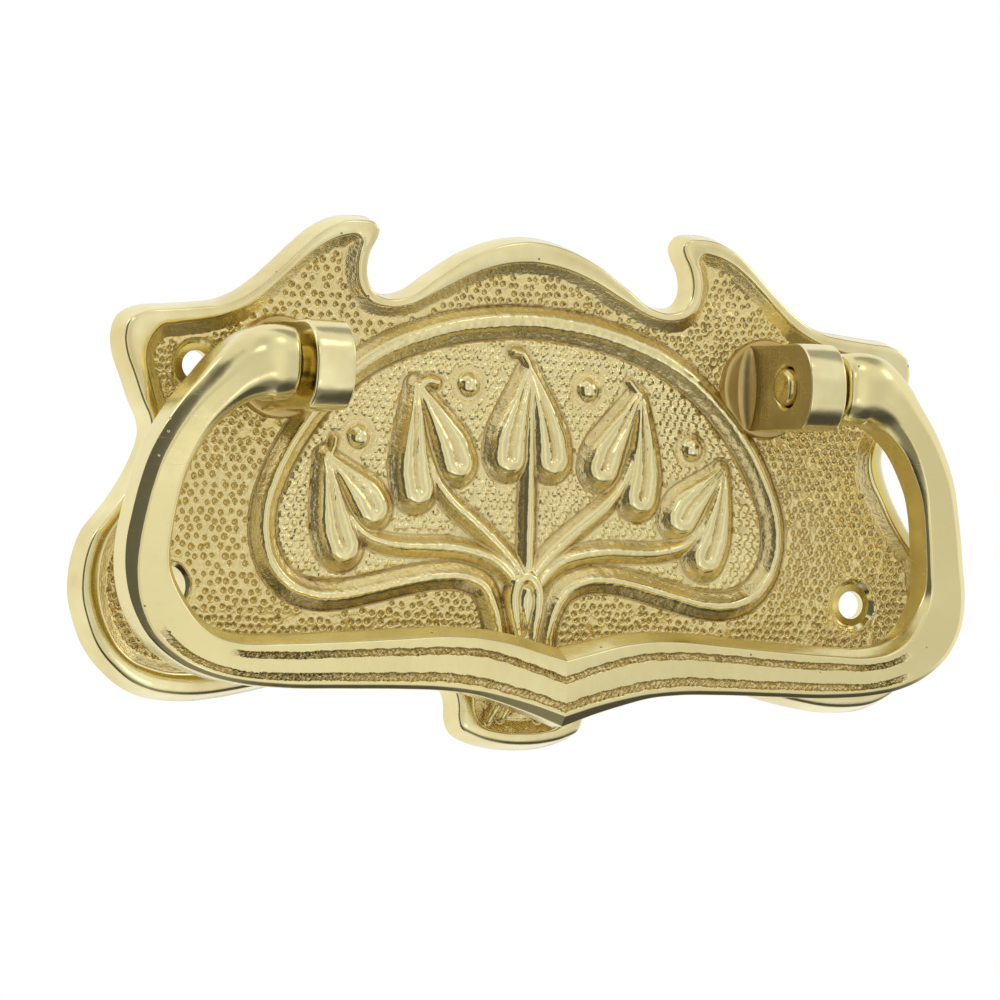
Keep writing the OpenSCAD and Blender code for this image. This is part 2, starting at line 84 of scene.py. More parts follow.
forward = np.array([np.sin(yaw) * np.cos(pitch), np.cos(yaw) * np.cos(pitch), np.sin(pitch)])
level_right = np.array([np.cos(yaw), -np.sin(yaw), 0])
level_up = np.cross(level_right, forward)
right = np.cos(roll) * level_right + np.sin(roll) * level_up
up = -np.sin(roll) * level_right + np.cos(roll) * level_up

bpy.ops.object.camera_add()
camera = bpy.context.object
camera.name = "camera"
camera.data.sensor_width = sensor_mm
camera.data.lens = focal_px / picture_px * sensor_mm
camera.data.clip_start, camera.data.clip_end = 0.05, 10
place = Matrix.Identity(4)
for column, axis in enumerate([right, up, -forward, (aim - distance * forward) * MM]):
    for row in range(3):
        place[row][column] = axis[row]
camera.matrix_world = place
bpy.context.scene.camera = camera
print("lens", round(camera.data.lens), "mm")

# %% [markdown]
# ## The handle's driving sizes
#
# These repeat the sizes of the CAD part, so that each new piece stays where its node is. The
# outlines are points listed along the rim, on the right half only. A founder's pattern is
# cut the same way, from half a template turned over.

# %% Sizes and outlines
RIM_T, DRAFT, WALL_W, UNDER_RIM = 3.4, 0.85, 1.55, 0.42
GROUND_T, SWELL = 2.0, 1.5
ZERO_LINE = -1.85
POST_IN, POST_T, POST_H, POST_NOSE = 35.8, 5.8, 12.3, 7.6
FOOT_R, FOOT_T = 7.1, 0.9
AXIS_OUT, AXIS_Z = 13.3, 15.5
PIN_R, BORE_R = 2.7, 2.78
HOLE_R, SINK_R = 2.0, 3.6
HOLES = [(51, 15.3), (-51, 15.3), (54.6, -15.3), (-54.6, -15.3)]
HANDS = ((1, "right"), (-1, "left"))

EDGE = [
    [0, 36.6], [5, 35.9], [10, 34], [15, 30.9], [19.5, 28], [22.3, 27.5], [24.6, 28.2],
    [25.8, 30], [26, 32], [25.4, 34.3], [24.5, 36], [24.2, 37.1], [24.9, 38], [27, 38.3],
    [30, 38], [33, 36.6], [36, 34.2], [39, 31.4], [42, 28.8], [45, 26.8], [48, 25.6], [52, 25],
    [56, 24.6], [59.5, 24.2], [61.8, 23], [62.5, 20.8], [62.2, 18.5], [61, 15.5], [59.6, 12],
    [58.4, 9.5], [58.1, 7.6], [58.5, 5.6], [59.4, 3.3], [60.6, 1], [62.2, -1.5], [64.2, -4.1],
    [66.2, -6.6], [67.3, -9.4], [67.8, -12.4], [67.7, -15.4], [66.9, -18.3], [65.8, -20.9],
    [64.4, -23], [62.6, -24.8], [60.2, -26.6], [57.4, -27.8], [54, -28.3], [50, -28.3],
    [45.5, -27.7], [41, -26.8], [36, -25.6], [30, -24.5], [22, -23.9], [15, -24.5], [12, -25.5],
    [10.4, -27.2], [9.9, -29], [9.8, -31], [9.2, -32.4], [7.5, -33.3], [4, -34.2], [0, -34.5]]
INNER = [
    [0, 33.6], [5, 33], [10, 31.3], [15, 28.8], [19, 27], [22.5, 26.4], [25.3, 27],
    [27, 28.8], [27.6, 31.5], [27.3, 34], [26.9, 35.6], [27.4, 36.1], [29.2, 36], [31.7, 35.2],
    [34.5, 33.5], [37.5, 31], [40.5, 28.3], [43.5, 25.8], [47, 24.1], [51, 23.1], [55, 22.5],
    [56.9, 22.1], [57.8, 21.2], [58.9, 18.7], [58.9, 17.8], [58.4, 15.3], [57.3, 12], [56.1, 9.2],
    [55.8, 6.7], [56.4, 4.4], [57.8, 2], [59.5, -1], [61.5, -3.8], [63.5, -6.2], [64.8, -9.3],
    [65.2, -12.5], [64.9, -15.8], [63.6, -19.4], [61.8, -22.1], [59.9, -23.6], [57.5, -24.5],
    [55, -25.1], [51, -25.2], [46, -24.7], [39, -23.3], [34, -22.2], [29, -21.6], [24, -21.3],
    [19, -21.4], [14, -21.9], [10.5, -23], [8.2, -25], [7.4, -27.5], [7.1, -30], [6, -31.7],
    [3.5, -32.5], [0, -32.7]]


def drawn(points):
    """Listed points, moved from the drawing's zero line to the part's."""
    points = np.array(points, float)
    points[:, 1] += ZERO_LINE
    return points


def mirrored_loop(half):
    """A whole outline from its right half."""
    other = half[1:-1][::-1].copy()
    other[:, 0] *= -1
    return np.concatenate([half, other])


def curve(points, closed=False, step=0.5):
    """Smooth curve through given points, as cubics that share their slopes."""
    points = np.array(points, float)
    count = len(points)

    def pick(i):
        return points[i % count] if closed else points[max(0, min(count - 1, i))]

    def span(a, b):
        return max(0.01, float(np.hypot(*(b - a)[:2])))

    def slope(i):
        a, b, c = pick(i - 1), pick(i), pick(i + 1)
        before, after = span(a, b), span(b, c)
        if closed or 0 < i < count - 1:
            return ((b - a) / before * after + (c - b) / after * before) / (before + after)
        return (c - a) / max(before, after)

    out = []
    for i in range(count if closed else count - 1):
        a, b = points[i], pick(i + 1)
        length = span(a, b)
        start, end = slope(i) * length, slope((i + 1) % count if closed else i + 1) * length
        steps = max(1, round(length / step))
        for t in np.arange(steps) / steps:
            out.append(a * (2 * t**3 - 3 * t**2 + 1) + start * (t**3 - 2 * t**2 + t)
                       + b * (3 * t**2 - 2 * t**3) + end * (t**3 - t**2))
    if not closed:
        out.append(points[-1])
    return np.array(out)


def inset(loop, amount):
    """The loop moved inwards. It runs clockwise, so inwards is to its right."""
    ahead = np.roll(loop, -1, 0) - np.roll(loop, 1, 0)
    ahead /= np.linalg.norm(ahead, axis=1)[:, None]
    return loop + amount * np.stack([ahead[:, 1], -ahead[:, 0]], 1)


def unit(value):
    """The value held between 0 and 1."""
    return np.clip(value, 0, 1)


def smooth_step(low, high, value):
    """Rises from 0 to 1 between low and high, and falls where high is the smaller."""
    t = unit((value - low) / (high - low))
    return t * t * (3 - 2 * t)


def evened(ring, passes=1):
    """A closed run of numbers, each drawn towards its two neighbours."""
    for _ in range(passes):
        ring = 0.25 * (np.roll(ring, 1) + np.roll(ring, -1)) + 0.5 * ring
    return ring


def ground(x, z):
    """Thickness of the plate's swelling ground."""
    u, v = x / 50, (z - ZERO_LINE + 6) / 30
    return GROUND_T + SWELL * np.maximum(0, 1 - u * u - v * v)


edge_loop = curve(mirrored_loop(drawn(EDGE)), True)
inner_loop = curve(mirrored_loop(drawn(INNER)), True)
print("outline points:", len(edge_loop), len(inner_loop))

# %% [markdown]
# ## Two ways to start a mesh
#
# Nearly every surface here is a sheet or a tube, so both start from Blender's grid primitive.
# For the carved face, the grid is laid flat over the plate and each of its corners is pulled
# forward by the height of the relief there. For a rim, a bar or a post, each row of the grid
# is bent round into a ring, the seam is merged, and the ends are filled.
#
# Each piece has its place in its mesh, and its object stays at the origin.


# %% Grid helpers
def new_grid(name, columns, rows):
    """A grid primitive with that many points each way, and nothing else selected."""
    bpy.ops.object.select_all(action="DESELECT")
    bpy.ops.mesh.primitive_grid_add(x_subdivisions=columns - 1, y_subdivisions=rows - 1)
    piece = bpy.context.object
    piece.name = piece.data.name = name
    return piece


def lay(piece, points):
    """Puts the grid's points in their places, given in millimetres row by row."""
    piece.data.vertices.foreach_set("co", (np.asarray(points).reshape(-1) * MM).astype(np.float32))
    piece.data.update()


def edit(piece, *steps):
    """Runs mesh operators on all of a piece, such as the three below."""
    bpy.context.view_layer.objects.active = piece
    bpy.ops.object.mode_set(mode="EDIT")
    bpy.ops.mesh.select_all(action="SELECT")
    for step in steps:
        step()
    bpy.ops.object.mode_set(mode="OBJECT")


def deselect():
    bpy.ops.mesh.select_all(action="DESELECT")


def merge():
    bpy.ops.mesh.remove_doubles(threshold=1e-7)


def face_out():
    bpy.ops.mesh.normals_make_consistent(inside=False)


def at_open_edge(piece, wanted, step):
    """Runs an operator on those points of a mesh's open edge that a test of their places picks."""
    edit(piece, lambda: bpy.ops.mesh.select_mode(type="VERT"), deselect,
         lambda: bpy.ops.mesh.select_non_manifold(extend=False))
    vertices = piece.data.vertices
    places = np.empty(len(vertices) * 3, np.float32)
    vertices.foreach_get("co", places)
    picked = np.empty(len(vertices), bool)
    vertices.foreach_get("select", picked)
    picked &= wanted(places.reshape(-1, 3) / MM)
    if picked.any():
        edit(piece, deselect)
        vertices.foreach_set("select", picked)
        bpy.ops.object.mode_set(mode="EDIT")
        bpy.ops.mesh.select_mode(type="VERT")
        step()
        bpy.ops.object.mode_set(mode="OBJECT")
    return picked.any()


def close_ring(piece, ring):
    """Fills one end of a tube: the open edge whose points lie on that ring."""
    low, high = ring.min(0) - 0.001, ring.max(0) + 0.001
    at_open_edge(piece, lambda places: ((places >= low) & (places <= high)).all(1),
                 bpy.ops.mesh.edge_face_add)


def rolled(name, rings, smooth, ends=True):
    """A tube through rings that all have as many points, with its ends filled if wanted."""
    rings = np.asarray(rings, float)
    piece = new_grid(name, rings.shape[1] + 1, len(rings))
    lay(piece, np.concatenate([rings, rings[:, :1]], 1))
    edit(piece, merge)
    if ends:
        close_ring(piece, rings[0])
        close_ring(piece, rings[-1])
    edit(piece, face_out)
    bpy.ops.object.shade_smooth_by_angle(angle=np.radians(smooth))
    return piece


def ring_at(loop, out):
    """An outline held at one distance in front of the back."""
    return np.stack([loop[:, 0], np.broadcast_to(-out, len(loop)), loop[:, 1]], 1)


# %% [markdown]
# ## The rim
#
# The rim is the plate's smooth border. Its side slopes outwards to the back, because a sand
# casting needs draft to leave its mould, and the polishing wheel has rounded its front edges.
# One tube makes it all: from the back, up the side, over the top and down into the sunk field,
# whose floor the carved sheet then covers.

# %% Rim
ROUND, WORN_BELOW, WORN_LEFT = 0.42, 0.42, 0.2
NARROW_RIM = 1.6

inward = inset(edge_loop, 1) - edge_loop
worn = (ROUND + WORN_BELOW * unit(inward[:, 1:]) ** 1.5
        + WORN_LEFT * unit(inward[:, :1]) ** 2)
# How far in from the outline each ring lies, and how far out from the back
section = [(-DRAFT, 0), (-DRAFT * 0.98, 0.25), (-0.06, RIM_T - worn[:, 0])]
for turn in np.radians([18, 36, 54, 72]):
    section.append((worn * (1 - np.cos(turn)) - 0.04 * np.cos(turn),
                    RIM_T - 0.1 - (worn[:, 0] - 0.1) * (1 - np.sin(turn))))
section += [(worn + 0.2, RIM_T - 0.05), (worn + 0.42, RIM_T - 0.01)]
rim_rings = [ring_at(inset(edge_loop, amount), out) for amount, out in section]

# Each point of the top goes on to its nearest one on the inner outline, evened so that none cross
top = rim_rings[-1][:, [0, 2]]
run_to = np.concatenate([[0], np.cumsum(np.hypot(*(np.roll(inner_loop, -1, 0) - inner_loop).T))])
whole = run_to[-1]
stations = np.array([run_to[np.hypot(*(inner_loop - point).T).argmin()] for point in top])
stations = np.maximum.accumulate(np.unwrap(stations, period=whole))
ramp_up = np.arange(len(stations)) * whole / len(stations)
stations = (ramp_up + evened(stations - ramp_up, 60)) % whole
closed_inner = np.concatenate([inner_loop, inner_loop[:1]])
matched = np.stack([np.interp(stations, run_to, closed_inner[:, k]) for k in (0, 1)], 1)
room = np.linalg.norm(matched - top, axis=1)[:, None]
for sunk, shift in [(0.0, -0.75), (0.06, -0.42), (0.14, -0.18), (0.26, -0.02), (0.45, 0.08),
                    (0.7, 0.15), (2.1, 0.2)]:
    moved = inset(matched, shift * np.minimum(1, room / NARROW_RIM))
    rim_rings.append(ring_at(moved, RIM_T - sunk))
rim = rolled("backplate_rim", rim_rings, smooth=40)
print("rim", len(rim.data.polygons), "faces")

# %% [markdown]
# ## The carved field: a grid laid over the sunk field
#
# The carving can't be built from primitives: it is one skin of brass, pushed up and down. So
# its height is worked out point by point, as a carver would describe it: how far each place is
# from the ridge of a stem or a bud, and what the section of that stem or bud is. The grid is
# fine enough for a punch mark of one millimetre.

# %% Grid over the plate
FINE = 0.182
xs = np.arange(-66, 66 + FINE, FINE)
zs = np.arange(-35.2, 34.8 + FINE, FINE)
GX, GZ = np.meshgrid(xs, zs)
rng = np.random.default_rng(11)


def window_on(low, high):
    """The part of the grid between two corners."""
    i0, i1 = np.searchsorted(xs, [low[0], high[0]])
    j0, j1 = np.searchsorted(zs, [low[1], high[1]])
    return np.s_[j0:j1, i0:i1]


def trace(path, reach, closed=False):
    """How far each grid point is from a path, on which side of it, and what the path holds there.

    The side is positive to the right of the direction of travel. Points further away than the
    reach are left at 99."""
    path = np.asarray(path, float)
    away = np.full(GX.shape, 99.0)
    side = np.zeros(GX.shape)
    held = np.zeros(GX.shape + (max(1, path.shape[1] - 2),))
    last = len(path) if closed else len(path) - 1
    for k in range(last):
        a, b = path[k], path[(k + 1) % len(path)]
        low, high = np.minimum(a, b)[:2] - reach, np.maximum(a, b)[:2] + reach
        window = window_on(low, high)
        if not GX[window].size:
            continue
        dx, dz = (b - a)[:2]
        ox, oz = GX[window] - a[0], GZ[window] - a[1]
        t = unit((ox * dx + oz * dz) / max(1e-9, dx * dx + dz * dz))
        ex, ez = ox - t * dx, oz - t * dz
        r = np.hypot(ex, ez)
        near = r < away[window]
        away[window][near] = r[near]
        side[window][near] = np.sign(dz * ex - dx * ez)[near]
        if path.shape[1] > 2:
            value = a[2:] + t[..., None] * (b - a)[2:]
            held[window][near] = value[near]
    return away, side, held


def inside(loop):
    """Which grid points lie inside a closed outline."""
    crossed = np.zeros(GX.shape, bool)
    for (x0, z0), (x1, z1) in zip(loop[:, :2], np.roll(loop, -1, 0)[:, :2]):
        if z0 == z1:
            continue
        j0, j1 = np.searchsorted(zs, sorted([z0, z1]))
        x = x0 + (zs[j0:j1] - z0) / (z1 - z0) * (x1 - x0)
        crossed[j0:j1] ^= GX[j0:j1] < x[:, None]
    return crossed


rim_away, _, _ = trace(inner_loop, 4, True)
from_rim = np.where(inside(inner_loop), rim_away, -rim_away)
print("grid", GX.shape, "points inside the rim:", int((from_rim > -0.35).sum()))

# %% [markdown]
# ## Frame, stems and strands
#
# Each is a ridge with its own section. The oval frame has a narrow polished top and long
# hollow slopes, with a fine line cut at the foot of each. The stems are rounder. The frame's
# top is widest at its crown. The two sides of the handle aren't quite alike, as is usual in a
# pattern cut by hand: the right tail of the frame runs closer to the bead.

# %% Ridges
# Each row holds x, z and half the width of the polished top
FRAME = [
    [0, 25.4, 0.68], [5.5, 25.1, 0.68], [11, 24.3, 0.66], [16, 23, 0.62], [21, 21.2, 0.58],
    [25.5, 18.8, 0.52], [29.5, 15.7, 0.47], [33, 12.2, 0.43], [36.5, 7.5, 0.4], [39, 2.8, 0.38],
    [40.6, -2, 0.38], [40.7, -6, 0.4], [39.6, -9.6, 0.45], [37, -12.6, 0.5], [33.6, -14, 0.5],
    [29, -14.1, 0.46], [24, -13.1, 0.42], [19, -11.9, 0.42], [14, -11, 0.42]]
RIGHT_TAIL = [
    [9.6, -11.1, 0.42], [6.3, -12.6, 0.42], [4.5, -15.2, 0.42], [3.5, -18.6, 0.4], [3.4, -22, 0.4]]
LEFT_TAIL = [
    [10, -11, 0.42], [7, -12.2, 0.42], [5.4, -15, 0.42], [4.4, -18.5, 0.4], [4.1, -22, 0.4]]
# The left side's tops are a little wider where the frame turns down
LEFT_FLANK = [0.42, 0.42, 0.42, 0.42, 0.46]
STEMS = [
    [[0, -11, 0.62], [0, -3, 0.62], [0, 5, 0.52], [0.05, 12, 0.36], [0.1, 17.5, 0.18]],
    [[0.9, -10.6, 0.5], [2.4, -8.8, 0.6], [5.5, -5.8, 0.62], [9, -3, 0.6], [12.5, -0.2, 0.55],
     [14.6, 2.4, 0.5], [16.2, 6, 0.42], [17.2, 10, 0.3], [17.6, 13, 0.2]],
    [[1.6, -12, 0.5], [3.2, -10.1, 0.56], [5.5, -8.4, 0.6], [8.5, -7.5, 0.6], [13, -6.9, 0.6],
     [18, -6.9, 0.55], [22, -6.6, 0.52], [25.5, -5.5, 0.46], [28, -3, 0.38], [30, 0.5, 0.28],
     [31, 3, 0.2]]]
STRANDS = [
    [[3.5, -21, 0.4], [3.0, -25, 0.45], [3.9, -29, 0.4], [5.2, -31.4, 0.2]],
    [[1.2, -21.4, 0.42], [1.3, -25, 0.42], [2.1, -28.6, 0.4], [3, -30.8, 0.22]]]

# The frame's rise, the runs of its two slopes, the step at the inner one's top, and its cut lines
FRAME_UP, OUTER_RUN, INNER_RUN, STEP_W, OUTER_LINE, INNER_LINE = 1.42, 1.25, 1.4, 0.14, 1.36, 1.62
# How hollow the other strands' slopes are
SLOPE_BOW = 1.6

relief, groove, cover, polish = np.zeros((4, *GX.shape))


def press(height, hollow, covers, shine):
    """Adds one raised form: the higher surface wins, and its cut line shows where nothing is."""
    global relief, groove, cover, polish
    polish = np.where(height > relief, shine, polish)
    relief = np.maximum(relief, height)
    groove = np.maximum(groove, hollow)
    cover = np.maximum(cover, covers)


def line_at(t, place, width=0.22):
    """Shape of a fine cut line across its width."""
    return np.exp(-((t - place) / width) ** 2)


def ridge(path, rise, slope, line=0.13):
    """A stem: a rounded top of the held half width, and hollow slopes down to a fine line."""
    away, _, held = trace(curve(path, step=0.4), 4)
    t = away - held[..., 0]
    crown = 1 - 0.2 * unit(away / np.maximum(0.1, held[..., 0])) ** 2
    height = rise * np.where(t < 0, crown, 0.8 * unit(1 - t / slope) ** SLOPE_BOW)
    press(height, line * line_at(t, slope + 0.12), smooth_step(slope + 0.5, slope + 0.3, t),
          0.8 * smooth_step(0.3, 0.0, t))


def turned_over(path):
    """The path on the other half of the plate."""
    return np.array([[-row[0], *row[1:]] for row in path])


frame_right, frame_left = drawn(FRAME + RIGHT_TAIL), drawn(FRAME + LEFT_TAIL)
frame_left[8:13, 2] = LEFT_FLANK
frame_path = curve(np.concatenate([frame_right[::-1], turned_over(frame_left)[1:]]), step=0.4)
frame_away, side, held = trace(frame_path, 4.5)
half = np.maximum(0.3, held[..., 0] * 1.3)
t = frame_away - half
outer_slope = 0.86 * unit(1 - t / OUTER_RUN) ** 1.3
inner_slope = np.where(t < STEP_W, 0.98 - 2.6 * np.clip(t, 0, STEP_W),
                       0.64 * unit(1 - (t - STEP_W) / INNER_RUN) ** 1.15)
frame_height = FRAME_UP * np.where(t < 0, 1 - 0.14 * unit(frame_away / half) ** 2,
                                   np.where(side < 0, inner_slope, outer_slope))
foot = np.where(side < 0, INNER_LINE, OUTER_LINE)
press(frame_height, 0.2 * line_at(t, foot), smooth_step(foot + 0.36, foot + 0.16, t),
      0.75 * smooth_step(0.25, 0.0, t))
within_frame = inside(frame_path) & (GZ > -16)

for on_hand in (np.asarray, turned_over):
    ridge(on_hand(drawn(STEMS[1])), 1.2, 0.95)
    ridge(on_hand(drawn(STEMS[2])), 1.15, 0.95)
    for strand in STRANDS:
        ridge(on_hand(drawn(strand)), 1.1, 0.6, line=0.1)
ridge(drawn(STEMS[0]), 1.15, 0.85)

# %% [markdown]
# ## Buds, studs and the bead
#
# A bud has two lobes that hang from one tip like folded leaves. Each lobe is a hairpin: a
# polished strand goes down the outside, round the bottom and up the inside, with a rough
# channel between. A hollow ledge runs round it, where the carver's tool went. Their tips curl,
# each one differently.

# %% Buds
# Tip, foot, width, and how much longer the outer lobe is than the inner one
BUDS = [
    [[0, 18.8], [0, 4.2], 5.8, 0],
    [[17.8, 16], [14.2, 1.2], 5.8, 0.15],
    [[31.7, 5.6], [26.1, -5.9], 5.2, 0.23]]
# Down a lobe: share of its length, of its width, half width of the lobe, and share of its rise
LOBE = [
    [0.02, 0.04, 0.35, 0.6], [0.22, 0.2, 0.95, 0.9], [0.48, 0.41, 1.7, 1], [0.72, 0.57, 2.25, 1],
    [0.87, 0.6, 2.3, 1]]
LOBE_UP, LOBE_SWELL, LEDGE_UP, LEDGE_RUN, LOBE_LINE = 1.6, 1.12, 0.44, 1.1, 1.18
SECTION_AT = [0, 0.07, 0.18, 0.34, 0.55, 0.74, 0.9, 1.0]
SECTION_UP = [0.7, 0.74, 0.88, 0.97, 1.0, 0.94, 0.76, 0.46]


def lobe(tip, foot, width, longer, side, flip):
    """One lobe of a bud, on one side of the line from its tip to its foot."""
    ends = drawn([tip, foot])
    length = np.linalg.norm(ends[1] - ends[0])
    down = (ends[1] - ends[0]) / length
    across = np.array([-down[1], down[0]]) * side
    rows = []
    for along, out, half, rise in LOBE:
        place = ends[0] + down * length * along * (1 + side * longer * out) + across * width * out
        rows.append([place[0] * flip, place[1], half, rise])
    away, _, held = trace(curve(rows, step=0.3), 5)
    half, rise = held[..., 0] * LOBE_SWELL, held[..., 1]
    share = away / np.maximum(0.2, half)
    t = away - half
    body = np.interp(share, SECTION_AT, SECTION_UP) * rise
    ledge = LEDGE_UP * unit(1 - t / LEDGE_RUN) ** 1.2 * np.clip(rise, 0.5, 1)
    height = LOBE_UP * np.where(t < 0, body, ledge)
    shine = 0.9 * smooth_step(0.06, 0.24, share) * smooth_step(1.0, 0.78, share)
    press(height, 0.16 * line_at(t, LOBE_LINE, 0.16), smooth_step(1.52, 1.32, t), shine)


for number, (tip, foot, width, longer) in enumerate(BUDS):
    for flip in ([1] if number == 0 else [1, -1]):
        for side in (-1, 1):
            lobe(tip, foot, width, longer, side, flip)

TIPS = [
    [[0.2, 14.6, 0.35], [0.1, 16.4, 0.32], [-0.4, 18, 0.32], [-1.3, 19, 0.34], [-2.3, 19.1, 0.36]],
    [[-17.6, 12.6, 0.3], [-16.8, 13.9, 0.34], [-15.6, 14.5, 0.4], [-14.6, 14.3, 0.42]],
    [[-31.4, 1.6, 0.25], [-31, 3.5, 0.22], [-30.4, 5, 0.2], [-30.2, 6, 0.16]],
    [[19, 11.6, 0.28], [18.4, 13, 0.22], [17.3, 14.4, 0.16], [16.3, 15.6, 0.1]],
    [[32.2, 0.6, 0.25], [32, 2.2, 0.2], [31.8, 3.6, 0.14]]]
for tip in TIPS:
    ridge(np.array(tip), 1.0, 0.6, line=0.1)

# A stud, from its middle to the ring round it
STUD_RADII = [0, 0.42, 0.84, 1.2, 1.5, 1.68, 1.78, 1.9, 2.1, 2.26, 2.36, 2.46]
STUD_UP = [1.35, 1.3, 1.14, 0.9, 0.56, 0.2, -0.08, 0.08, 0.16, 0.06, -0.1, 0]
STUD_SHINE = [1, 1, 1, 1, 1, 0.6, 0, 0.2, 0.3, 0.2, 0, 0]
STUD_COVERS = STUD_RADII[-1] + 0.35
for x, z in drawn([[9.5, 16.1], [26.6, 8.2]]):
    for hand, _ in HANDS:
        r = np.hypot(GX - hand * x, GZ - z)
        up = np.interp(r, STUD_RADII, STUD_UP)
        press(np.maximum(0, up), np.maximum(0, -up) * (r < STUD_RADII[-1]),
              (r < STUD_COVERS) * 1.0, np.interp(r, STUD_RADII, STUD_SHINE))

# The bead where the stems meet: a raised loop with a drop inside
HAIRPIN = [
    [-1.2, -21.6, 0.5], [-1.7, -19.6, 0.62], [-2.15, -17, 0.72], [-2.2, -14.9, 0.74],
    [-1.6, -13.3, 0.76], [-0.3, -12.6, 0.78], [1.0, -13.3, 0.76], [1.6, -14.9, 0.74],
    [1.6, -17, 0.72], [1.2, -19.6, 0.62], [1.0, -21.6, 0.5]]
DROP = [[-0.3, -14.6, 0.7], [-0.3, -15.9, 1.05], [-0.3, -17.6, 0.8], [-0.3, -19.6, 0.2]]
within = inside(curve(HAIRPIN, step=0.3))
relief = np.where(within, 0.95, relief)
groove = np.where(within, 0, groove)
polish = np.where(within, 0.3, polish)
ridge(np.array(HAIRPIN), 1.6, 0.55, line=0.16)
drop_away, _, drop_half = trace(curve(DROP, step=0.3), 3)
drop = 1.25 + 0.5 * unit(1 - (drop_away / np.maximum(0.1, drop_half[..., 0])) ** 2)
drop = np.where(drop_away < drop_half[..., 0], drop, 0)
press(drop, 0 * drop, (drop > 0.05) * 1.0, np.ones(GX.shape))
print("highest carving", round(float(relief.max()), 2), "mm above the ground")

# %% [markdown]
# ## Punched and pebbled ground
#
# Round the frame, the ground is struck all over with a round-nosed punch, in uneven rows.
# Inside the frame it is struck with a ring punch, which leaves small pearls. Both are drawn as
# a loose net of spots. Each one is pushed a little out of place, so that no row is straight.


# %% Texture of the ground
# Depth and radius of the two sizes of pit, and height and radius of a pearl
WIDE_PIT, CLOSE_PIT, PEARL = (0.4, 0.44), (0.36, 0.44), (0.34, 0.6)
WIDE_PITCH, CLOSE_PITCH, PEARL_PITCH, ROW_RATIO = 1.4, 1.2, 1.2, 0.87


def loose_net(pitch, jitter, wanted, skip):
    """Spots in offset rows, each moved a little, where the mask wants them. Some are left out."""
    spots = []
    for row, z in enumerate(np.arange(zs[0], zs[-1], pitch * ROW_RATIO)):
        for x in np.arange(xs[0] + (row % 2) * pitch / 2, xs[-1], pitch):
            px, pz = x + rng.uniform(-jitter, jitter), z + rng.uniform(-jitter, jitter)
            i = min(len(xs) - 1, np.searchsorted(xs, px))
            j = min(len(zs) - 1, np.searchsorted(zs, pz))
            if wanted[j, i] > 0.5 and rng.random() >= skip:
                spots.append((px, pz, rng.uniform(0.82, 1.15)))
    return spots


def strike(spots, reach, shape):
    """Height left by one punch at each spot, where the shape is a function of the radius."""
    marks = np.zeros(GX.shape)
    for x, z, size in spots:
        window = window_on((x - reach, z - reach), (x + reach, z + reach))
        mark = shape(np.hypot(GX[window] - x, GZ[window] - z) / size)
        old = marks[window]
        marks[window] = np.where(np.abs(mark) > np.abs(old), mark, old)
    return marks


bare = (1 - cover) * smooth_step(1.3, 1.62, from_rim)
for hole_x, hole_z in HOLES:
    bare *= smooth_step(SINK_R + 0.5, SINK_R + 0.8, np.hypot(GX - hole_x, GZ - hole_z))
for hand, _ in HANDS:
    from_foot = np.hypot(GX - hand * (POST_IN + POST_T / 2), GZ - AXIS_Z)
    bare *= smooth_step(FOOT_R + 0.1, FOOT_R + 0.3, from_foot)
stalk = (np.abs(GX) < 3.6) & (GZ < -15.5)
pit_ground = bare * ~within_frame * ~stalk
pearl_ground = bare * within_frame
flat_patch = (GX > -53.4) & (GX < -51.2) & (GZ > -16) & (GZ < -12)
wide_zone = (GX < -14) & (GZ > -19) & ~flat_patch
wide_pits = loose_net(WIDE_PITCH, 0.3, pit_ground * wide_zone, 0.06)
close_pits = loose_net(CLOSE_PITCH, 0.24, pit_ground * ~wide_zone * ~flat_patch, 0.08)
pearls = loose_net(PEARL_PITCH, 0.12, pearl_ground, 0.02)


def pit(depth, radius):
    """A struck pit: a round hollow, with the metal it pushed out standing round it."""
    return lambda r: (-depth * unit(1 - (r / radius) ** 2)
                      + 0.4 * depth * line_at(r, radius * 1.3, 0.16))


pit_marks = strike(wide_pits, 1.1, pit(*WIDE_PIT)) + strike(close_pits, 0.9, pit(*CLOSE_PIT))
pearl_marks = strike(pearls, 0.8, lambda r: PEARL[0] * unit(1 - (r / PEARL[1]) ** 2) ** 0.9)
print("pits", len(wide_pits) + len(close_pits), "pearls", len(pearls))


def soften(field, width):
    """Rounds a height field off over a width in millimetres, as a casting rounds its pattern."""
    for _ in range(max(1, round(2 * (width / FINE) ** 2))):
        for axis in (0, 1):
            field = 0.5 * field + 0.25 * (np.roll(field, 1, axis) + np.roll(field, -1, axis))
    return field


def unevenness(width):
    """Random hills of about that width in millimetres, scaled so that their spread is 1."""
    hills = soften(rng.standard_normal(GX.shape), width)
    return hills / hills.std()


fine_waves, waves, hills = unevenness(0.13), unevenness(0.34), unevenness(1.3)
carved = soften(relief, 0.15) - groove * smooth_step(0.25, 0.05, relief)
# The casting is rougher than the polished tops, and the right side of the ground is hillier
uneven = (0.026 * waves * (1 - 0.4 * polish) + 0.014 * fine_waves * (1 - 0.6 * polish)
          + (0.05 + 0.05 * (GX > 0)) * hills * pit_ground)
uneven *= smooth_step(0, 0.4, from_rim)
unmarked = ground(GX, GZ) + carved + uneven
height = unmarked + pit_marks * pit_ground + pearl_marks * pearl_ground

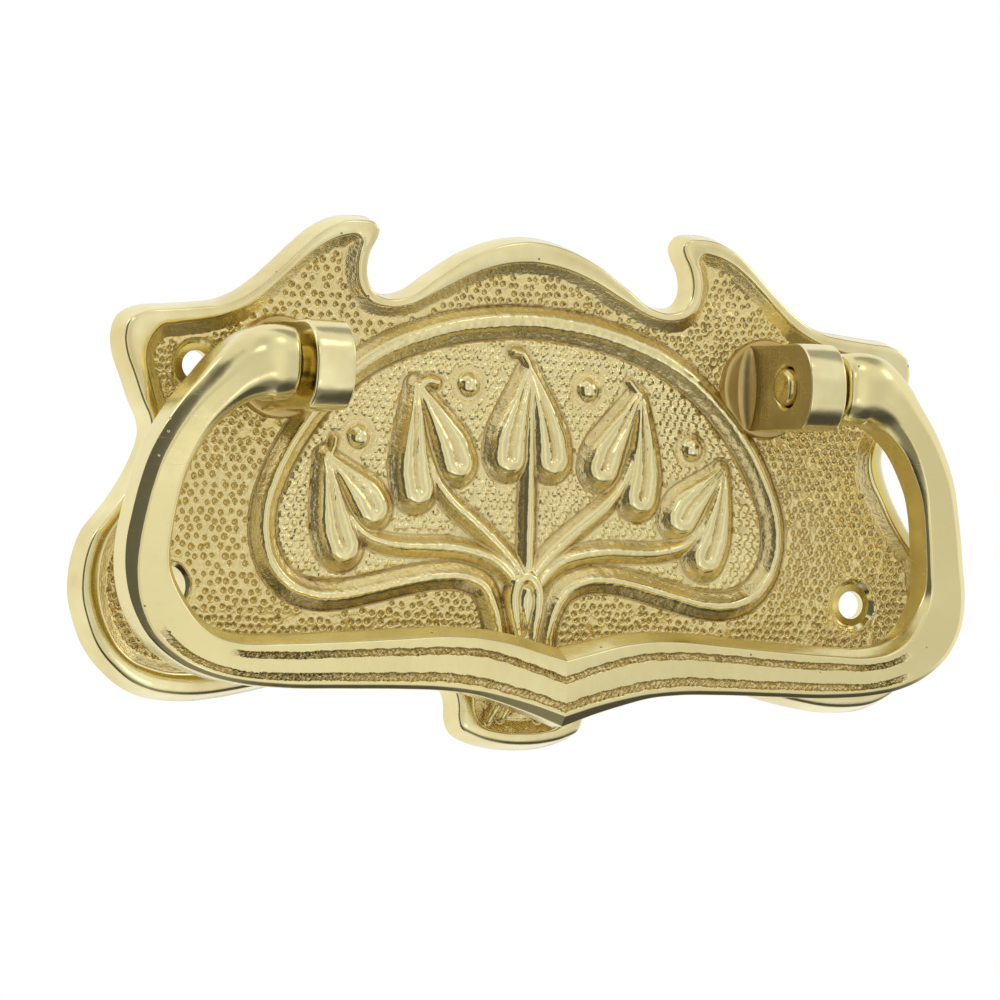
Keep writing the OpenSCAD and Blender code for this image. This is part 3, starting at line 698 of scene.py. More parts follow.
# The rim's inner wall, down to the ground, and a fine line cut at its foot
wall_t = unit(from_rim / WALL_W)
wall = (RIM_T - UNDER_RIM) * (1 - wall_t) ** 1.15 + ground(GX, GZ) * (1 - (1 - wall_t) ** 1.15)
wall += 0.03 * waves * (1 - wall_t)
height = np.where(from_rim < WALL_W, np.maximum(wall, height - 9 * (from_rim < 0.2)), height)
height -= 0.09 * line_at(from_rim, WALL_W + 0.15, 0.16) * (relief < 0.2)
height = np.where(from_rim < 0, RIM_T - UNDER_RIM, height)

# %% [markdown]
# ## Screw holes
#
# Four holes for countersunk wood screws are drilled after casting, so their cones are the only
# turned surfaces on the face: smooth, bright and cut straight through the pattern. The grid's
# points nearest each bore are pulled onto its circle, and the bore's wall is then drawn back to
# the plate's rear by extruding that edge.

# %% Screw holes and the carved mesh
PX, PZ = GX.copy(), GZ.copy()
dropped = from_rim < -0.35
for hole_x, hole_z in HOLES:
    r = np.hypot(GX - hole_x, GZ - hole_z)
    seat = float(ground(hole_x, hole_z)) - (SINK_R - HOLE_R) - 0.12
    on_edge = np.abs(r - HOLE_R) < FINE * 0.6
    PX = np.where(on_edge, hole_x + (GX - hole_x) / np.maximum(r, 0.1) * HOLE_R, PX)
    PZ = np.where(on_edge, hole_z + (GZ - hole_z) / np.maximum(r, 0.1) * HOLE_R, PZ)
    cone = seat + np.where(on_edge, 0, np.maximum(0, r - HOLE_R))
    turned_here = (cone < height) & (r < SINK_R + 1.5)
    height = np.where(turned_here, cone, height)
    polish = np.where(turned_here, 1, polish)
    dropped |= (r < HOLE_R) & ~on_edge

# Dirt and painted shade: hollows, steep sides, the cut lines, the gaps between the pearls and the
# pits are darkened where shade falls
HOLLOW_SHADE_AND_DIRT, SLOPE_SHADE_AND_DIRT, PEARL_GAP_SHADE_AND_DIRT, PIT_SHADE_AND_DIRT = 0.6, 0.3, 0.3, 0.36
hollow = unit((soften(unmarked, 0.66) - unmarked) / 0.3)
steep = np.hypot(*np.gradient(soften(unmarked, 0.2), FINE))
shade_and_dirt_of_low_places = np.maximum.reduce([
    HOLLOW_SHADE_AND_DIRT * hollow,
    SLOPE_SHADE_AND_DIRT * unit((steep - 0.3) / 0.8) * (1 - polish),
    unit(groove / 0.16) * (relief < 0.3),
    pearl_ground * unit(1 - pearl_marks / 0.1) * PEARL_GAP_SHADE_AND_DIRT,
    unit(-pit_marks / 0.25) * pit_ground * PIT_SHADE_AND_DIRT])
polish = np.maximum(polish, 0.55 * pearl_ground)
# Patches of old polish: x, z and radius
RESIDUE = [(-22.1, -2.4, 2.2), (-28.2, -11.6, 2.6), (-30.6, -9.6, 2.0), (-25.5, -8.2, 1.6),
           (-33.5, -15.2, 3.2)]
residue = np.maximum.reduce([smooth_step(wide, wide * 0.2, np.hypot(GX - x, GZ - z))
                             for x, z, wide in RESIDUE])
residue *= unit(shade_and_dirt_of_low_places * 1.6) * 0.75


def keep_on(piece, name, values):
    """Stores one number for each grid point on the mesh, for its material to read."""
    kept = piece.data.attributes.new(name, "FLOAT", "POINT")
    kept.data.foreach_set("value", np.asarray(values).reshape(-1).astype(np.float32))


def extrude():
    bpy.ops.mesh.extrude_region_move()


def drill_down(sheet):
    """Draws the open edge of each bore back to the plate's rear."""
    for x, z in HOLES:
        found = at_open_edge(
            sheet, lambda at: np.hypot(at[:, 0] - x, at[:, 2] - z) < HOLE_R + 0.4, extrude)
        if found:
            for vertex in sheet.data.vertices:
                if vertex.select:
                    vertex.co.y = 0


def triangles(piece):
    return sum(len(face.vertices) - 2 for face in piece.data.polygons)


middle = within_frame | (frame_away < 2.2) | ((np.abs(GX) < 6) & (GZ < -12))
sheet_of = np.where(middle, 0, np.where(GX < 0, 1, 2))[:-1, :-1]
gone = dropped[:-1, :-1] | dropped[1:, :-1] | dropped[:-1, 1:] | dropped[1:, 1:]
for number, word in enumerate(("middle", "left", "right")):
    sheet = new_grid("backplate_carving_" + word, len(xs), len(zs))
    lay(sheet, np.stack([PX, -height, PZ], -1))
    keep_on(sheet, "polish", polish)
    # The sunk places' dirt and painted shade, for the material to darken
    keep_on(sheet, "sunk", shade_and_dirt_of_low_places)
    keep_on(sheet, "residue", residue)
    corners = np.empty(len(sheet.data.loops), np.int32)
    sheet.data.loops.foreach_get("vertex_index", corners)
    row, column = np.divmod(corners.reshape(-1, 4).min(1), len(xs))
    edit(sheet, lambda: bpy.ops.mesh.select_mode(type="FACE"), deselect)
    sheet.data.polygons.foreach_set("select", gone[row, column] | (sheet_of[row, column] != number))
    bpy.ops.object.mode_set(mode="EDIT")
    bpy.ops.mesh.delete(type="FACE")
    bpy.ops.object.mode_set(mode="OBJECT")
    if word != "middle":
        drill_down(sheet)
    edit(sheet, face_out)
    if sum(face.normal.y for face in sheet.data.polygons) > 0:
        edit(sheet, lambda: bpy.ops.mesh.flip_normals())
    bpy.ops.object.shade_smooth_by_angle(angle=np.radians(70))
    print("carving", word, triangles(sheet), "triangles")

# %% [markdown]
# ## Posts
#
# A post is a short barrel lying on its side, flat towards the middle of the handle, with a
# hole for the pin. The tube that makes it is closed both ways: out of the hole's mouth, over
# the flat face, along the barrel, over the outer face and back through the hole. So the hole
# needs no cutting, and its worn bevel is part of the same skin.

# %% Posts
AROUND = 96


def post_reach(angle):
    """Distance from the pin's axis to the barrel's side in one direction (0 is straight up)."""
    r, crown, chin = POST_H / 2, 0.64 * POST_NOSE, 0.38 * POST_NOSE
    side = [[-AXIS_OUT + GROUND_T / 2, r]]
    for a in np.linspace(0, np.pi / 2, 24):
        side.append([POST_NOSE - crown * (1 - np.sin(a)), r * np.cos(a)])
    side += [[POST_NOSE - chin * t**3, -r * t] for t in np.linspace(0.04, 0.97, 20)]
    side += [[POST_NOSE - chin - 0.25, -r], [-AXIS_OUT + GROUND_T / 2, -r]]
    ray = np.array([np.sin(angle), np.cos(angle)])
    best = 0
    for a, b in zip(np.array(side), np.roll(np.array(side), -1, 0)):
        d = b - a
        turn = ray[0] * d[1] - ray[1] * d[0]
        if abs(turn) < 1e-9:
            continue
        far = (a[0] * d[1] - a[1] * d[0]) / turn
        along = (a[0] * ray[1] - a[1] * ray[0]) / turn
        if far > 0 and -1e-6 <= along <= 1 + 1e-6:
            best = max(best, far)
    return best


angles = np.arange(AROUND) * 2 * np.pi / AROUND + 0.01
reach = evened(np.array([post_reach(a) for a in angles]))


def barrel(x, radius):
    """Ring round the pin's axis, at one place along it."""
    return np.stack([np.full(AROUND, x), -AXIS_OUT - radius * np.sin(angles),
                     AXIS_Z + radius * np.cos(angles)], 1)


def mirrored(rings, hand):
    rings = np.array(rings, float)
    rings[..., 0] *= hand
    return rings


def turned_rings(profile, sides, axis, middle):
    """Rings round an axis, 0 for X or 1 for Y, from places along it and their radii."""
    around = np.arange(sides) * 2 * np.pi / sides
    rings = np.empty((len(profile), sides, 3))
    for ring, (along, radius) in zip(rings, profile):
        ring[:, axis] = along
        ring[:, 1 - axis] = middle + radius * np.cos(around)
        ring[:, 2] = AXIS_Z + radius * np.sin(around)
    return rings


def post_rings():
    """The post's closed skin, from the hole's mouth round to the hole's mouth again."""
    inner, outer = POST_IN, POST_IN + POST_T
    bore = np.full(AROUND, BORE_R)
    mouth, face_edge, back_edge = 0.8, 0.26, 0.38
    rings = [barrel(inner + 0.7, bore), barrel(inner + 0.3, bore + 0.3),
             barrel(inner + 0.02, bore + 0.62), barrel(inner, bore + mouth)]
    for share in (0.25, 0.55, 0.85):
        rings.append(barrel(inner, (bore + mouth) * (1 - share) + (reach - 0.4) * share))
    rings.append(barrel(inner, reach - 0.32))
    for turn in np.radians([25, 50, 75]):
        rings.append(barrel(inner + face_edge * (1 - np.cos(turn)),
                            reach - face_edge * (1 - np.sin(turn))))
    for share in np.linspace(0, 1, 8):
        swell = 0.05 * np.sin(np.pi * share)
        rings.append(barrel(inner + 0.3 + (POST_T - 0.7) * share, reach + swell))
    for turn in np.radians([70, 40, 15]):
        rings.append(barrel(outer - back_edge * (1 - np.cos(turn)),
                            reach - back_edge * (1 - np.sin(turn))))
    rings += [barrel(outer, reach - 0.5), barrel(outer, bore + 0.15), barrel(outer - 0.15, bore)]
    return rings + [rings[0]]


# The round foot: how far out from the back each ring lies, and its radius
FOOT = [(1.6, 7.28), (2.1, 7.25), (2.3, 7.12), (2.66, 7.1), (2.82, 7.02), (2.9, 6.86), (2.93, 6.2),
        (2.95, 4.5)]


def cove_rings():
    """The hollow between the foot and the post's flat face, drawn from bottom to top."""
    low = GROUND_T + FOOT_T
    rings = []
    for dz in np.linspace(-5.85, 5.85, 40):
        room = np.sqrt(FOOT_R**2 - dz**2) - POST_T / 2 - 0.3
        across = min(2.3 * np.sqrt(1 - (dz / 6.1) ** 2), room)
        tall = 4.3 * np.sqrt(1 - (dz / 6.4) ** 2)
        arc = [[POST_IN + 0.4 - (across + 0.4) * (1 - np.sin(a)), low + tall * (1 - np.cos(a))]
               for a in np.linspace(0, np.pi / 2, 14)]
        profile = [[POST_IN + 0.6, low - 0.3], [arc[0][0], low - 0.3], *arc,
                   [POST_IN + 0.6, low + tall]]
        rings.append([[px, -py, AXIS_Z + dz] for px, py in profile])
    return rings


foot_rings = turned_rings([(-out, r) for out, r in FOOT], 72, 1, POST_IN + POST_T / 2)
for hand, word in HANDS:
    post = rolled("post_" + word, mirrored(post_rings(), hand), smooth=38, ends=False)
    edit(post, merge, face_out)
    rolled("post_foot_" + word, mirrored(foot_rings, hand), smooth=60)
    rolled("post_cove_" + word, mirrored(cove_rings(), hand), smooth=60)
print("post", len(post.data.polygons), "faces")

# %% [markdown]
# ## The bail
#
# The bail is one cast bar that changes its section as it goes: flat in front with a bevel on
# each side along the bar, plainer on the arms, and swollen to a ball at each end. It is drawn
# as rings along a listed middle line. The bar's face carries two cut lines with rough
# bottoms, where the founder's pattern was chased with a small tool that left slanting ticks.

# %% Bail sizes
KNUCKLE_END, KNUCKLE_D, KNUCKLE_NOSE = 43.0, 10.2, 6.4
BAR_DEPTH, BAR_FRONT, POINT_LIFT, POINT_RUN = 5.8, 2.9, 0.5, 24
ARM_DEPTH, ARM_SET = 6.0, 1.6
TOP_BEVEL, LOW_BEVEL, ARM_BEVEL = 1.45, 0.62, 1.75
LINE_DEPTH, TICK_DEPTH, TICK = 0.36, 0.16, 0.74
BAR_STEP, ARM_STEP = 0.17, 0.42
# The middle line: x, z below the axis, half width, share of the arm, of the ball's reach, of its
# roundness
BAIL = [
    [0, -43.4, 5.5, 0, 0, 0], [4.5, -42.05, 5.1, 0, 0, 0], [9, -40.85, 4.9, 0, 0, 0],
    [13, -40.1, 4.65, 0, 0, 0], [18, -39.75, 4.45, 0, 0, 0], [25, -39.9, 4.15, 0, 0, 0],
    [34, -40.25, 3.9, 0, 0, 0], [43, -40.5, 3.7, 0, 0, 0], [49.6, -40.3, 3.4, 0, 0, 0],
    [53.2, -39.6, 3.4, 0, 0, 0], [56.8, -38, 3.6, 0.1, 0, 0], [60.2, -34.9, 3.9, 0.3, 0, 0],
    [61.9, -32, 3.75, 0.5, 0, 0], [62.8, -28.6, 3.4, 0.8, 0, 0], [62.8, -25.2, 3.2, 1, 0, 0],
    [62.3, -21.4, 3.1, 1, 0.05, 0], [61.6, -17.6, 3, 1, 0.12, 0], [60.6, -14, 3, 1, 0.24, 0.1],
    [59, -10.6, 3, 1, 0.36, 0.25], [56.8, -7.2, 3.05, 1, 0.5, 0.4], [54.1, -4.3, 3.35, 1, 0.66, 0.6],
    [51, -1.7, 4.2, 1, 0.86, 0.85], [47.4, -0.1, 5.15, 1, 1.03, 1], [45, 0, 5.15, 1, 1.02, 1],
    [43, 0, 4.8, 1, 0.94, 1]]

half_line = curve(BAIL, step=0.18)
bail_line = np.concatenate([half_line[1:][::-1] * [-1, 1, 1, 1, 1, 1], half_line])
keep = [0]
for i in range(1, len(bail_line)):
    far = np.hypot(*(bail_line[i] - bail_line[keep[-1]])[:2])
    on_bar = abs(bail_line[i][0]) < 60 and bail_line[i][1] < -30
    if far > (BAR_STEP if on_bar else ARM_STEP):
        keep.append(i)
keep[-1] = len(bail_line) - 1
bail_line = bail_line[keep]
print("bail rings", len(bail_line))

# %% [markdown]
# ### Its section
#
# Each corner of the section is a bevel whose two edges are a little rounded, as polishing
# leaves them. Towards the ball the bevels turn into round corners. A cut line has steep sides
# and a rough floor.


# %% Bail section
BEVEL_ROUND, BACK_CUT, POINT_SPREAD = 0.2, 1.2, 14
# The two cut lines: share of the face's width, its shift at the point, width, ends, side
CUT_LINES = [(0.175, 0.03, 1.24, (-60.7, 55.8), 1), (0.725, 0.07, 1.07, (-51.6, 57), -1)]


def corner(cut_out, cut_back, roundness):
    """Steps round a corner: shares of the cut, from the face's edge to the side's edge."""
    s = BEVEL_ROUND / max(cut_out, 0.3)
    bevel = []
    for k in np.linspace(0, 1, 6):
        bevel.append([-s * (1 - k) ** 2 + s * k * k, s * k * k])
    for k in (0.3, 0.4, 0.5, 0.6, 0.7):
        bevel.append([s + (1 - 2 * s) * k, s + (1 - 2 * s) * k])
    for k in np.linspace(0, 1, 6):
        bevel.append([1 - s * (1 - k) ** 2, 1 - s * (1 - k) ** 2 + s * k * k])
    quarter = np.linspace(0, np.pi / 2, len(bevel))
    arc = np.stack([np.sin(quarter), 1 - np.cos(quarter)], 1)
    mixed = arc * roundness + np.array(bevel) * (1 - roundness)
    return mixed * [cut_out, cut_back]


def line_stations(half):
    """Places across a cut line, and how deep each one is."""
    at = [1.25, 1.05, 0.92, 0.8, 0.66, 0.4, 0.14, -0.14, -0.4, -0.66, -0.8, -0.92, -1.05, -1.25]
    deep = [0, 0.02, 0.3, 0.75, 0.95, 1, 1, 1, 1, 0.95, 0.75, 0.3, 0.02, 0]
    return np.array(at) * half, np.array(deep)


def bail_section(p, along):
    """Points [outwards, in front of the axis] at one ring, and the polish of each point."""
    w, arm, far, ball, x = p[2], p[3], p[4], p[5], abs(p[0])
    arm_front = BAR_FRONT - ARM_SET
    front = (BAR_FRONT + POINT_LIFT * max(0, 1 - x / POINT_RUN) - ARM_SET * arm
             + (KNUCKLE_NOSE - arm_front) * far)
    deep = BAR_DEPTH + (ARM_DEPTH - BAR_DEPTH) * arm + (KNUCKLE_D - ARM_DEPTH) * ball
    point = max(0, 1 - x / POINT_SPREAD)
    low_bevel = LOW_BEVEL + 0.9 * point
    arm_bevel = ARM_BEVEL if p[0] < 0 else ARM_BEVEL - 0.5
    top_bevel = (TOP_BEVEL + 0.35 * point) * (1 - 0.6 * arm)
    out_cut = (low_bevel + (arm_bevel - low_bevel) * arm) * (1 - ball) + w * 0.9 * ball
    in_cut = top_bevel * (1 - ball) + w * 0.9 * ball
    in_deep = in_cut * (0.9 + 0.62 * (1 - ball) * (1 - arm))
    back_cut = BACK_CUT * (1 - ball) + w * 0.8 * ball
    face_w = 2 * w - out_cut - in_cut
    back = front - deep
    points, shine = [], []

    def add(places, outs, polish_there):
        points.extend(zip(places, outs))
        shine.extend(np.broadcast_to(polish_there, len(places)))

    low = corner(back_cut, back_cut, 1)
    add(w - back_cut + low[:, 0], back + low[:, 1], 1)
    for share in (0.25, 0.5, 0.75):
        add([w], [back + back_cut + share * (deep - back_cut - out_cut * 0.7)], 1)
    edge = corner(out_cut, out_cut * 0.7, ball)[::-1]
    add(w - out_cut + edge[:, 0], front - edge[:, 1], 1)
    for share, shift, wide, ends, side in CUT_LINES:
        middle = w - out_cut - face_w * (share - shift * point)
        fade = (1 - ball) * smooth_step(0.7, 0.4, arm)
        fade *= smooth_step(ends[0], ends[0] + 3, p[0]) * smooth_step(ends[1], ends[1] - 3, p[0])
        wander = 0.05 * np.sin(along / 3.1 + side) + 0.02 * np.sin(along / 1.3)
        wander = (wander + rng.uniform(-0.04, 0.04)) * fade
        room = (face_w * 0.175 - 0.24 * (1 - ball)) / 1.25
        wide_here = min(wide / 2, face_w * 0.125) * (1 + 0.1 * fade * np.sin(along * 2.1 + side))
        at, sunk = line_stations(max(0.03, min(wide_here, room - abs(wander))))
        tick = np.sin(2 * np.pi * (along + side * 0.9 * at) / TICK)
        rough = TICK_DEPTH * tick * (sunk > 0.7) + rng.uniform(-0.06, 0.06, len(at)) * (sunk > 0.25)
        add(middle + at + wander, front - (LINE_DEPTH * sunk + rough * 0.9) * fade, 1 - sunk * fade)
    edge = corner(in_cut, in_deep, ball)
    add(-(w - in_cut + edge[:, 0]), front - edge[:, 1], 1)
    for share in (0.25, 0.5, 0.75):
        add([-w], [front - in_deep - share * (deep - back_cut - in_deep)], 1)
    add(-(w - back_cut + low[::-1, 0]), back + low[::-1, 1], 1)
    return np.array(points), np.array(shine)


rings, shines, run = [], [], 0.0
for i, p in enumerate(bail_line):
    a, b = bail_line[max(0, i - 1)], bail_line[min(len(bail_line) - 1, i + 1)]
    ahead = (b - a)[:2] / np.hypot(*(b - a)[:2])
    lean = min(1, abs(p[0]) / 16)
    outwards = np.array([ahead[1] * lean, -ahead[0]])
    outwards /= np.linalg.norm(outwards)
    if i in (0, len(bail_line) - 1):
        outwards = np.array([0.0, 1.0])
    run += np.hypot(*(p - a)[:2])
    section, shine = bail_section(p, run)
    rings.append([[p[0] + outwards[0] * q[0], -AXIS_OUT - q[1], AXIS_Z + p[1] + outwards[1] * q[0]]
                  for q in section])
    shines.append(shine)
rings, shines = np.array(rings), np.array(shines)


def shrunk(ring, share, x):
    """A ring drawn in towards the pin's axis, for the rounded edge of a ball's flat end."""
    centre = np.array([0, -AXIS_OUT, AXIS_Z])
    small = centre + (ring - centre) * share
    small[:, 0] = x
    return small


left_end = [shrunk(rings[0], 0.88, -KNUCKLE_END), shrunk(rings[0], 0.955, -KNUCKLE_END - 0.12)]
right_end = [shrunk(rings[-1], 0.955, KNUCKLE_END + 0.12), shrunk(rings[-1], 0.88, KNUCKLE_END)]
rings[0, :, 0] = -KNUCKLE_END - 0.45
rings[-1, :, 0] = KNUCKLE_END + 0.45
rings = np.concatenate([left_end, rings, right_end])
shines = np.concatenate([shines[:1], shines[:1], shines, shines[-1:], shines[-1:]])

bail = new_grid("bail_casting", rings.shape[1] + 1, len(rings))
lay(bail, np.concatenate([rings, rings[:, :1]], 1))
shines = np.concatenate([shines, shines[:, :1]], 1)
ring_x = np.concatenate([rings[:, :, 0], rings[:, :1, 0]], 1)
# Old polish has stayed in the lines near their left end and on the right
blackened = (smooth_step(-52, -49, ring_x) * smooth_step(-30, -40, ring_x)
             + smooth_step(44, 52, ring_x))
keep_on(bail, "polish", shines)
# The cut lines' walls get painted shade, and their floors random dirt and painted shade
wall_of_line = (shines > 0.04) & (shines < 0.8)
floor_dirt_and_shade = (1 - shines) * rng.uniform(0, 0.4, shines.shape)
keep_on(bail, "sunk", np.where(wall_of_line, 0.45, floor_dirt_and_shade))
left_over = np.clip(rng.uniform(-1.6, 0.5, shines.shape) + blackened, 0, 0.8)
keep_on(bail, "residue", (shines < 0.6) * left_over)
edit(bail, merge)
close_ring(bail, rings[0])
close_ring(bail, rings[-1])
edit(bail, face_out)
bpy.ops.object.shade_smooth_by_angle(angle=np.radians(50))
print("bail", triangles(bail), "triangles")

# %% [markdown]
# ## Pins
#
# Each pin is turned from rod, and its free end is rounded over, which is what shows in the
# hole of the right post.

# %% Pins
PIN_START = POST_IN - 0.95
# The rounded end: how far from its tip each ring lies, and its radius
PIN_TIP = [(0, 0.8), (0.04, 1.4), (0.14, 1.9), (0.26, 2.2), (0.42, 2.42), (0.62, 2.55),
           (0.85, 2.62), (1.2, 2.64), (1.7, PIN_R), (4, PIN_R)]
pin_profile = [(PIN_START + along, r) for along, r in PIN_TIP]
pin_profile += [(KNUCKLE_END + 4.6, PIN_R), (KNUCKLE_END + 4.9, PIN_R - 0.3)]
for hand, word in HANDS:
    pin_rings = turned_rings(pin_profile, 64, 0, -AXIS_OUT)
    rolled("pin_" + word, mirrored(pin_rings, hand), smooth=45)
print("pins done")

# %% [markdown]
# ## Through holes in the plate's slab
#
# The rim piece is the plate's slab as well. The four bores go on through it to the flat back,
# with a cylinder taken away at each one.

# %% Bores through the slab
for hole_x, hole_z in HOLES:
    bpy.ops.object.select_all(action="DESELECT")
    bpy.ops.mesh.primitive_cylinder_add(vertices=64, radius=(HOLE_R + 0.02) * MM, depth=8 * MM,
                                        location=(hole_x * MM, 0, hole_z * MM),
                                        rotation=(np.pi / 2, 0, 0))
    drill = bpy.context.object
    bpy.context.view_layer.objects.active = rim
    cut = rim.modifiers.new("bore", "BOOLEAN")
    cut.operation, cut.object, cut.solver = "DIFFERENCE", drill, "MANIFOLD"
    bpy.ops.object.modifier_apply(modifier="bore")
    bpy.data.objects.remove(drill)
print("slab with bores:", len(rim.data.polygons), "faces")

# %% [markdown]
# ## Materials
#
# The whole handle is one metal: yellow brass, cast in sand, then polished on a wheel where the
# wheel can reach. What differs is the finish. Outer faces are bright and pale. Sunk places keep
# the warmer, duller skin of the casting, and are darkened further with dirt and painted shade.
# Both come from one recipe with other settings, and the carving mixes them by the height of
# each place.


# %% Material helpers
def linear(hex_colour):
    """An sRGB hex colour as the linear one that Blender's sockets take."""
    parts = [int(hex_colour[i:i + 2], 16) / 255 for i in (1, 3, 5)]
    return [p / 12.92 if p <= 0.04045 else ((p + 0.055) / 1.055) ** 2.4 for p in parts] + [1]


def node(tree, kind, out=0, settings=(), **inputs):
    """Adds a node with its settings, fills its sockets with values or links, gives one output."""
    added = tree.nodes.new("ShaderNode" + kind)
    for key, value in dict(settings).items():
        setattr(added, key, value)
    for key, value in inputs.items():
        socket = added.inputs[int(key[1:]) if key[1:].isdigit() else key.replace("_", " ")]
        if isinstance(value, bpy.types.NodeSocket):
            tree.links.new(value, socket)
        else:
            socket.default_value = value
    return added.outputs[out] if added.outputs else added


TIMES, PLUS = {"operation": "MULTIPLY"}, {"operation": "MULTIPLY_ADD"}
CLAMPED, COLOURS = {"operation": "SUBTRACT", "use_clamp": True}, {"data_type": "RGBA"}
CELLS = {"feature": "F1"}
# The first is the dark brown of dirt and painted shade in sunk places, the second the dirt in
# pinholes
SINK_SHADE_AND_DIRT, PINHOLE_DIRT = "#6C4E20", "#4A4022"


# %% Brass
def brass(name, bright, warm, rough, skin, specks=1.0, carved=False, brushed=False,
          grime="#6E4438"):
    """Yellow brass. The bright colour is polished metal, and the warm one its unpolished skin."""
    material = bpy.data.materials.new(name)
    material.use_nodes = True
    tree = material.node_tree
    shader = tree.nodes["Principled BSDF"]
    shader.inputs["Metallic"].default_value = 1
    place_on = node(tree, "TexCoord", "Object")
    # Clouding left by uneven polishing, about 12 mm across
    clouds = node(tree, "TexNoise", Vector=place_on, Scale=1 / (12 * MM), Detail=3, Roughness=0.6)
    clouds = node(tree, "MapRange", Value=clouds, From_Min=0.38, From_Max=0.68)
    # Skin left by the sand mould. Its grains are about 0.2 mm, drawn at 0.45 mm so that they show
    grain = node(tree, "TexNoise", Vector=place_on, Scale=1 / (0.45 * MM), Detail=3, Roughness=0.6)
    # Faint waves from the polishing wheel, about 4 mm long
    wheel = node(tree, "TexNoise", Vector=place_on, Scale=1 / (4 * MM), Detail=2, Roughness=0.5)
    # Hair scratches 5 mm long. Real ones are finer than these, drawn 0.3 mm apart so that they show
    drawn_out = node(tree, "Mapping", Vector=place_on, Rotation=(0.2, 0.3, 0.6),
                     Scale=(1 / (5 * MM), 1 / (1.5 * MM), 1 / (0.3 * MM)))
    hairs = node(tree, "TexNoise", Vector=drawn_out, Scale=1, Detail=2, Roughness=0.7)
    hairs = node(tree, "MapRange", Value=hairs, From_Min=0.62, From_Max=0.7)
    # Pinholes of the casting that polishing opens: cells of 3 mm, and a hole in some of them
    cells = node(tree, "TexVoronoi", "Distance", CELLS, Vector=place_on, Scale=1 / (3 * MM))
    chosen = node(tree, "TexVoronoi", "Color", CELLS, Vector=place_on, Scale=1 / (3 * MM))
    chosen = node(tree, "MapRange", Value=chosen, From_Min=0.6, From_Max=0.64, To_Max=specks)
    hole = node(tree, "MapRange", Value=cells, From_Min=0.07, From_Max=0.03)
    hole = node(tree, "Math", 0, TIMES, i0=hole, i1=chosen)
    if carved:
        shine = node(tree, "Attribute", "Fac", {"attribute_name": "polish"})
        dull = node(tree, "Math", 0, CLAMPED, i0=1.0, i1=shine)
    else:
        dull = node(tree, "Math", 0, TIMES, i0=clouds, i1=0.25)
    warmth = node(tree, "Math", 0, PLUS, i0=clouds, i1=0.3, i2=dull)
    colour = node(tree, "Mix", 2, COLOURS, i0=warmth, i6=linear(bright), i7=linear(warm))
    roughness = node(tree, "Math", 0, PLUS, i0=warmth, i1=0.08, i2=rough)
    if carved:
        # Sunk places are drawn towards a dark brown: dirt, and painted shade in hollows, cut lines
        # and pits
        sunk = node(tree, "Attribute", "Fac", {"attribute_name": "sunk"})
        sunk = node(tree, "MapRange", Value=sunk, From_Min=0.2, From_Max=0.95)
        # Old polish, dirt and painted shade lie thicker in some parts of the carving than in others
        thick = node(tree, "MapRange", Value=clouds, To_Min=0.5, To_Max=0.85)
        dirt_and_shade = node(tree, "Math", 0, TIMES, i0=sunk, i1=thick)
        colour = node(tree, "Mix", 2, COLOURS, i0=dirt_and_shade, i6=colour, i7=linear(SINK_SHADE_AND_DIRT))
        residue_here = node(tree, "Attribute", "Fac", {"attribute_name": "residue"})
        colour = node(tree, "Mix", 2, COLOURS, i0=residue_here, i6=colour, i7=linear(grime))
        roughness = node(tree, "Math", 0, PLUS, i0=dirt_and_shade, i1=0.12, i2=roughness)
    speck = node(tree, "Math", 0, TIMES, i0=hole, i1=0.65)
    colour = node(tree, "Mix", 2, COLOURS, i0=speck, i6=colour, i7=linear(PINHOLE_DIRT))
    roughness = node(tree, "Math", 0, PLUS, i0=hairs, i1=0.08, i2=roughness)
    depth = node(tree, "Math", 0, PLUS, i0=dull, i1=skin * MM, i2=0.003 * MM)
    uneven_by = node(tree, "Math", 0, TIMES, i0=grain, i1=depth)
    # How far each pattern stands up, or is cut in, in millimetres
    heights = [(wheel, 0.06), (hairs, -0.003), (hole, -0.08)]
    if brushed:
        # Marks of the saw and file, 0.4 mm apart, standing upright
        marks = node(tree, "Mapping", Vector=place_on,
                     Scale=(1 / (100 * MM), 1 / (0.4 * MM), 1 / (16 * MM)))
        marks = node(tree, "TexNoise", Vector=marks, Scale=1, Detail=2, Roughness=0.6)
        heights.append((marks, 0.08))
    for pattern, tall in heights:
        uneven_by = node(tree, "Math", 0, PLUS, i0=pattern, i1=tall * MM, i2=uneven_by)
    bump = node(tree, "Bump", Strength=1.0, Distance=1.0, Height=uneven_by)
    tree.links.new(colour, shader.inputs["Base Color"])
    tree.links.new(roughness, shader.inputs["Roughness"])
    tree.links.new(bump, shader.inputs["Normal"])
    return material


# Wheel-polished brass: nearly a mirror, pale, with soft clouds and a rare pinhole
polished = brass("polished_cast_brass", "#F0E6B2", "#D2BA78", 0.15, 0.02)
# Brass as it left the mould, polished on its tops only: bright ridges and warm, dull hollows,
# darkened further with dirt and painted shade
carved_brass = brass("carved_cast_brass", "#EADFA8", "#E2CF92", 0.1, 0.09, specks=0.5, carved=True)
# Polished like the rim, with old polish left grey-green in the rough floor of the cut lines, and
# dirt and painted shade on their walls and floors
bar_brass = brass("polished_brass_with_chased_lines", "#E9DDA4", "#DFCB8E", 0.18, 0.05,
                  carved=True, grime="#4E4C3C")
# Sawn and filed flat, not polished: browner, satin, with upright marks
sawn = brass("machined_brass_face", "#C6B68A", "#A2906A", 0.26, 0.05, specks=0.4, brushed=True)
# Where the wheel can't reach: the mould's skin, darker and blurred
foot_brass = brass("cast_brass_left_dull", "#CDB678", "#AA8C50", 0.32, 0.1)
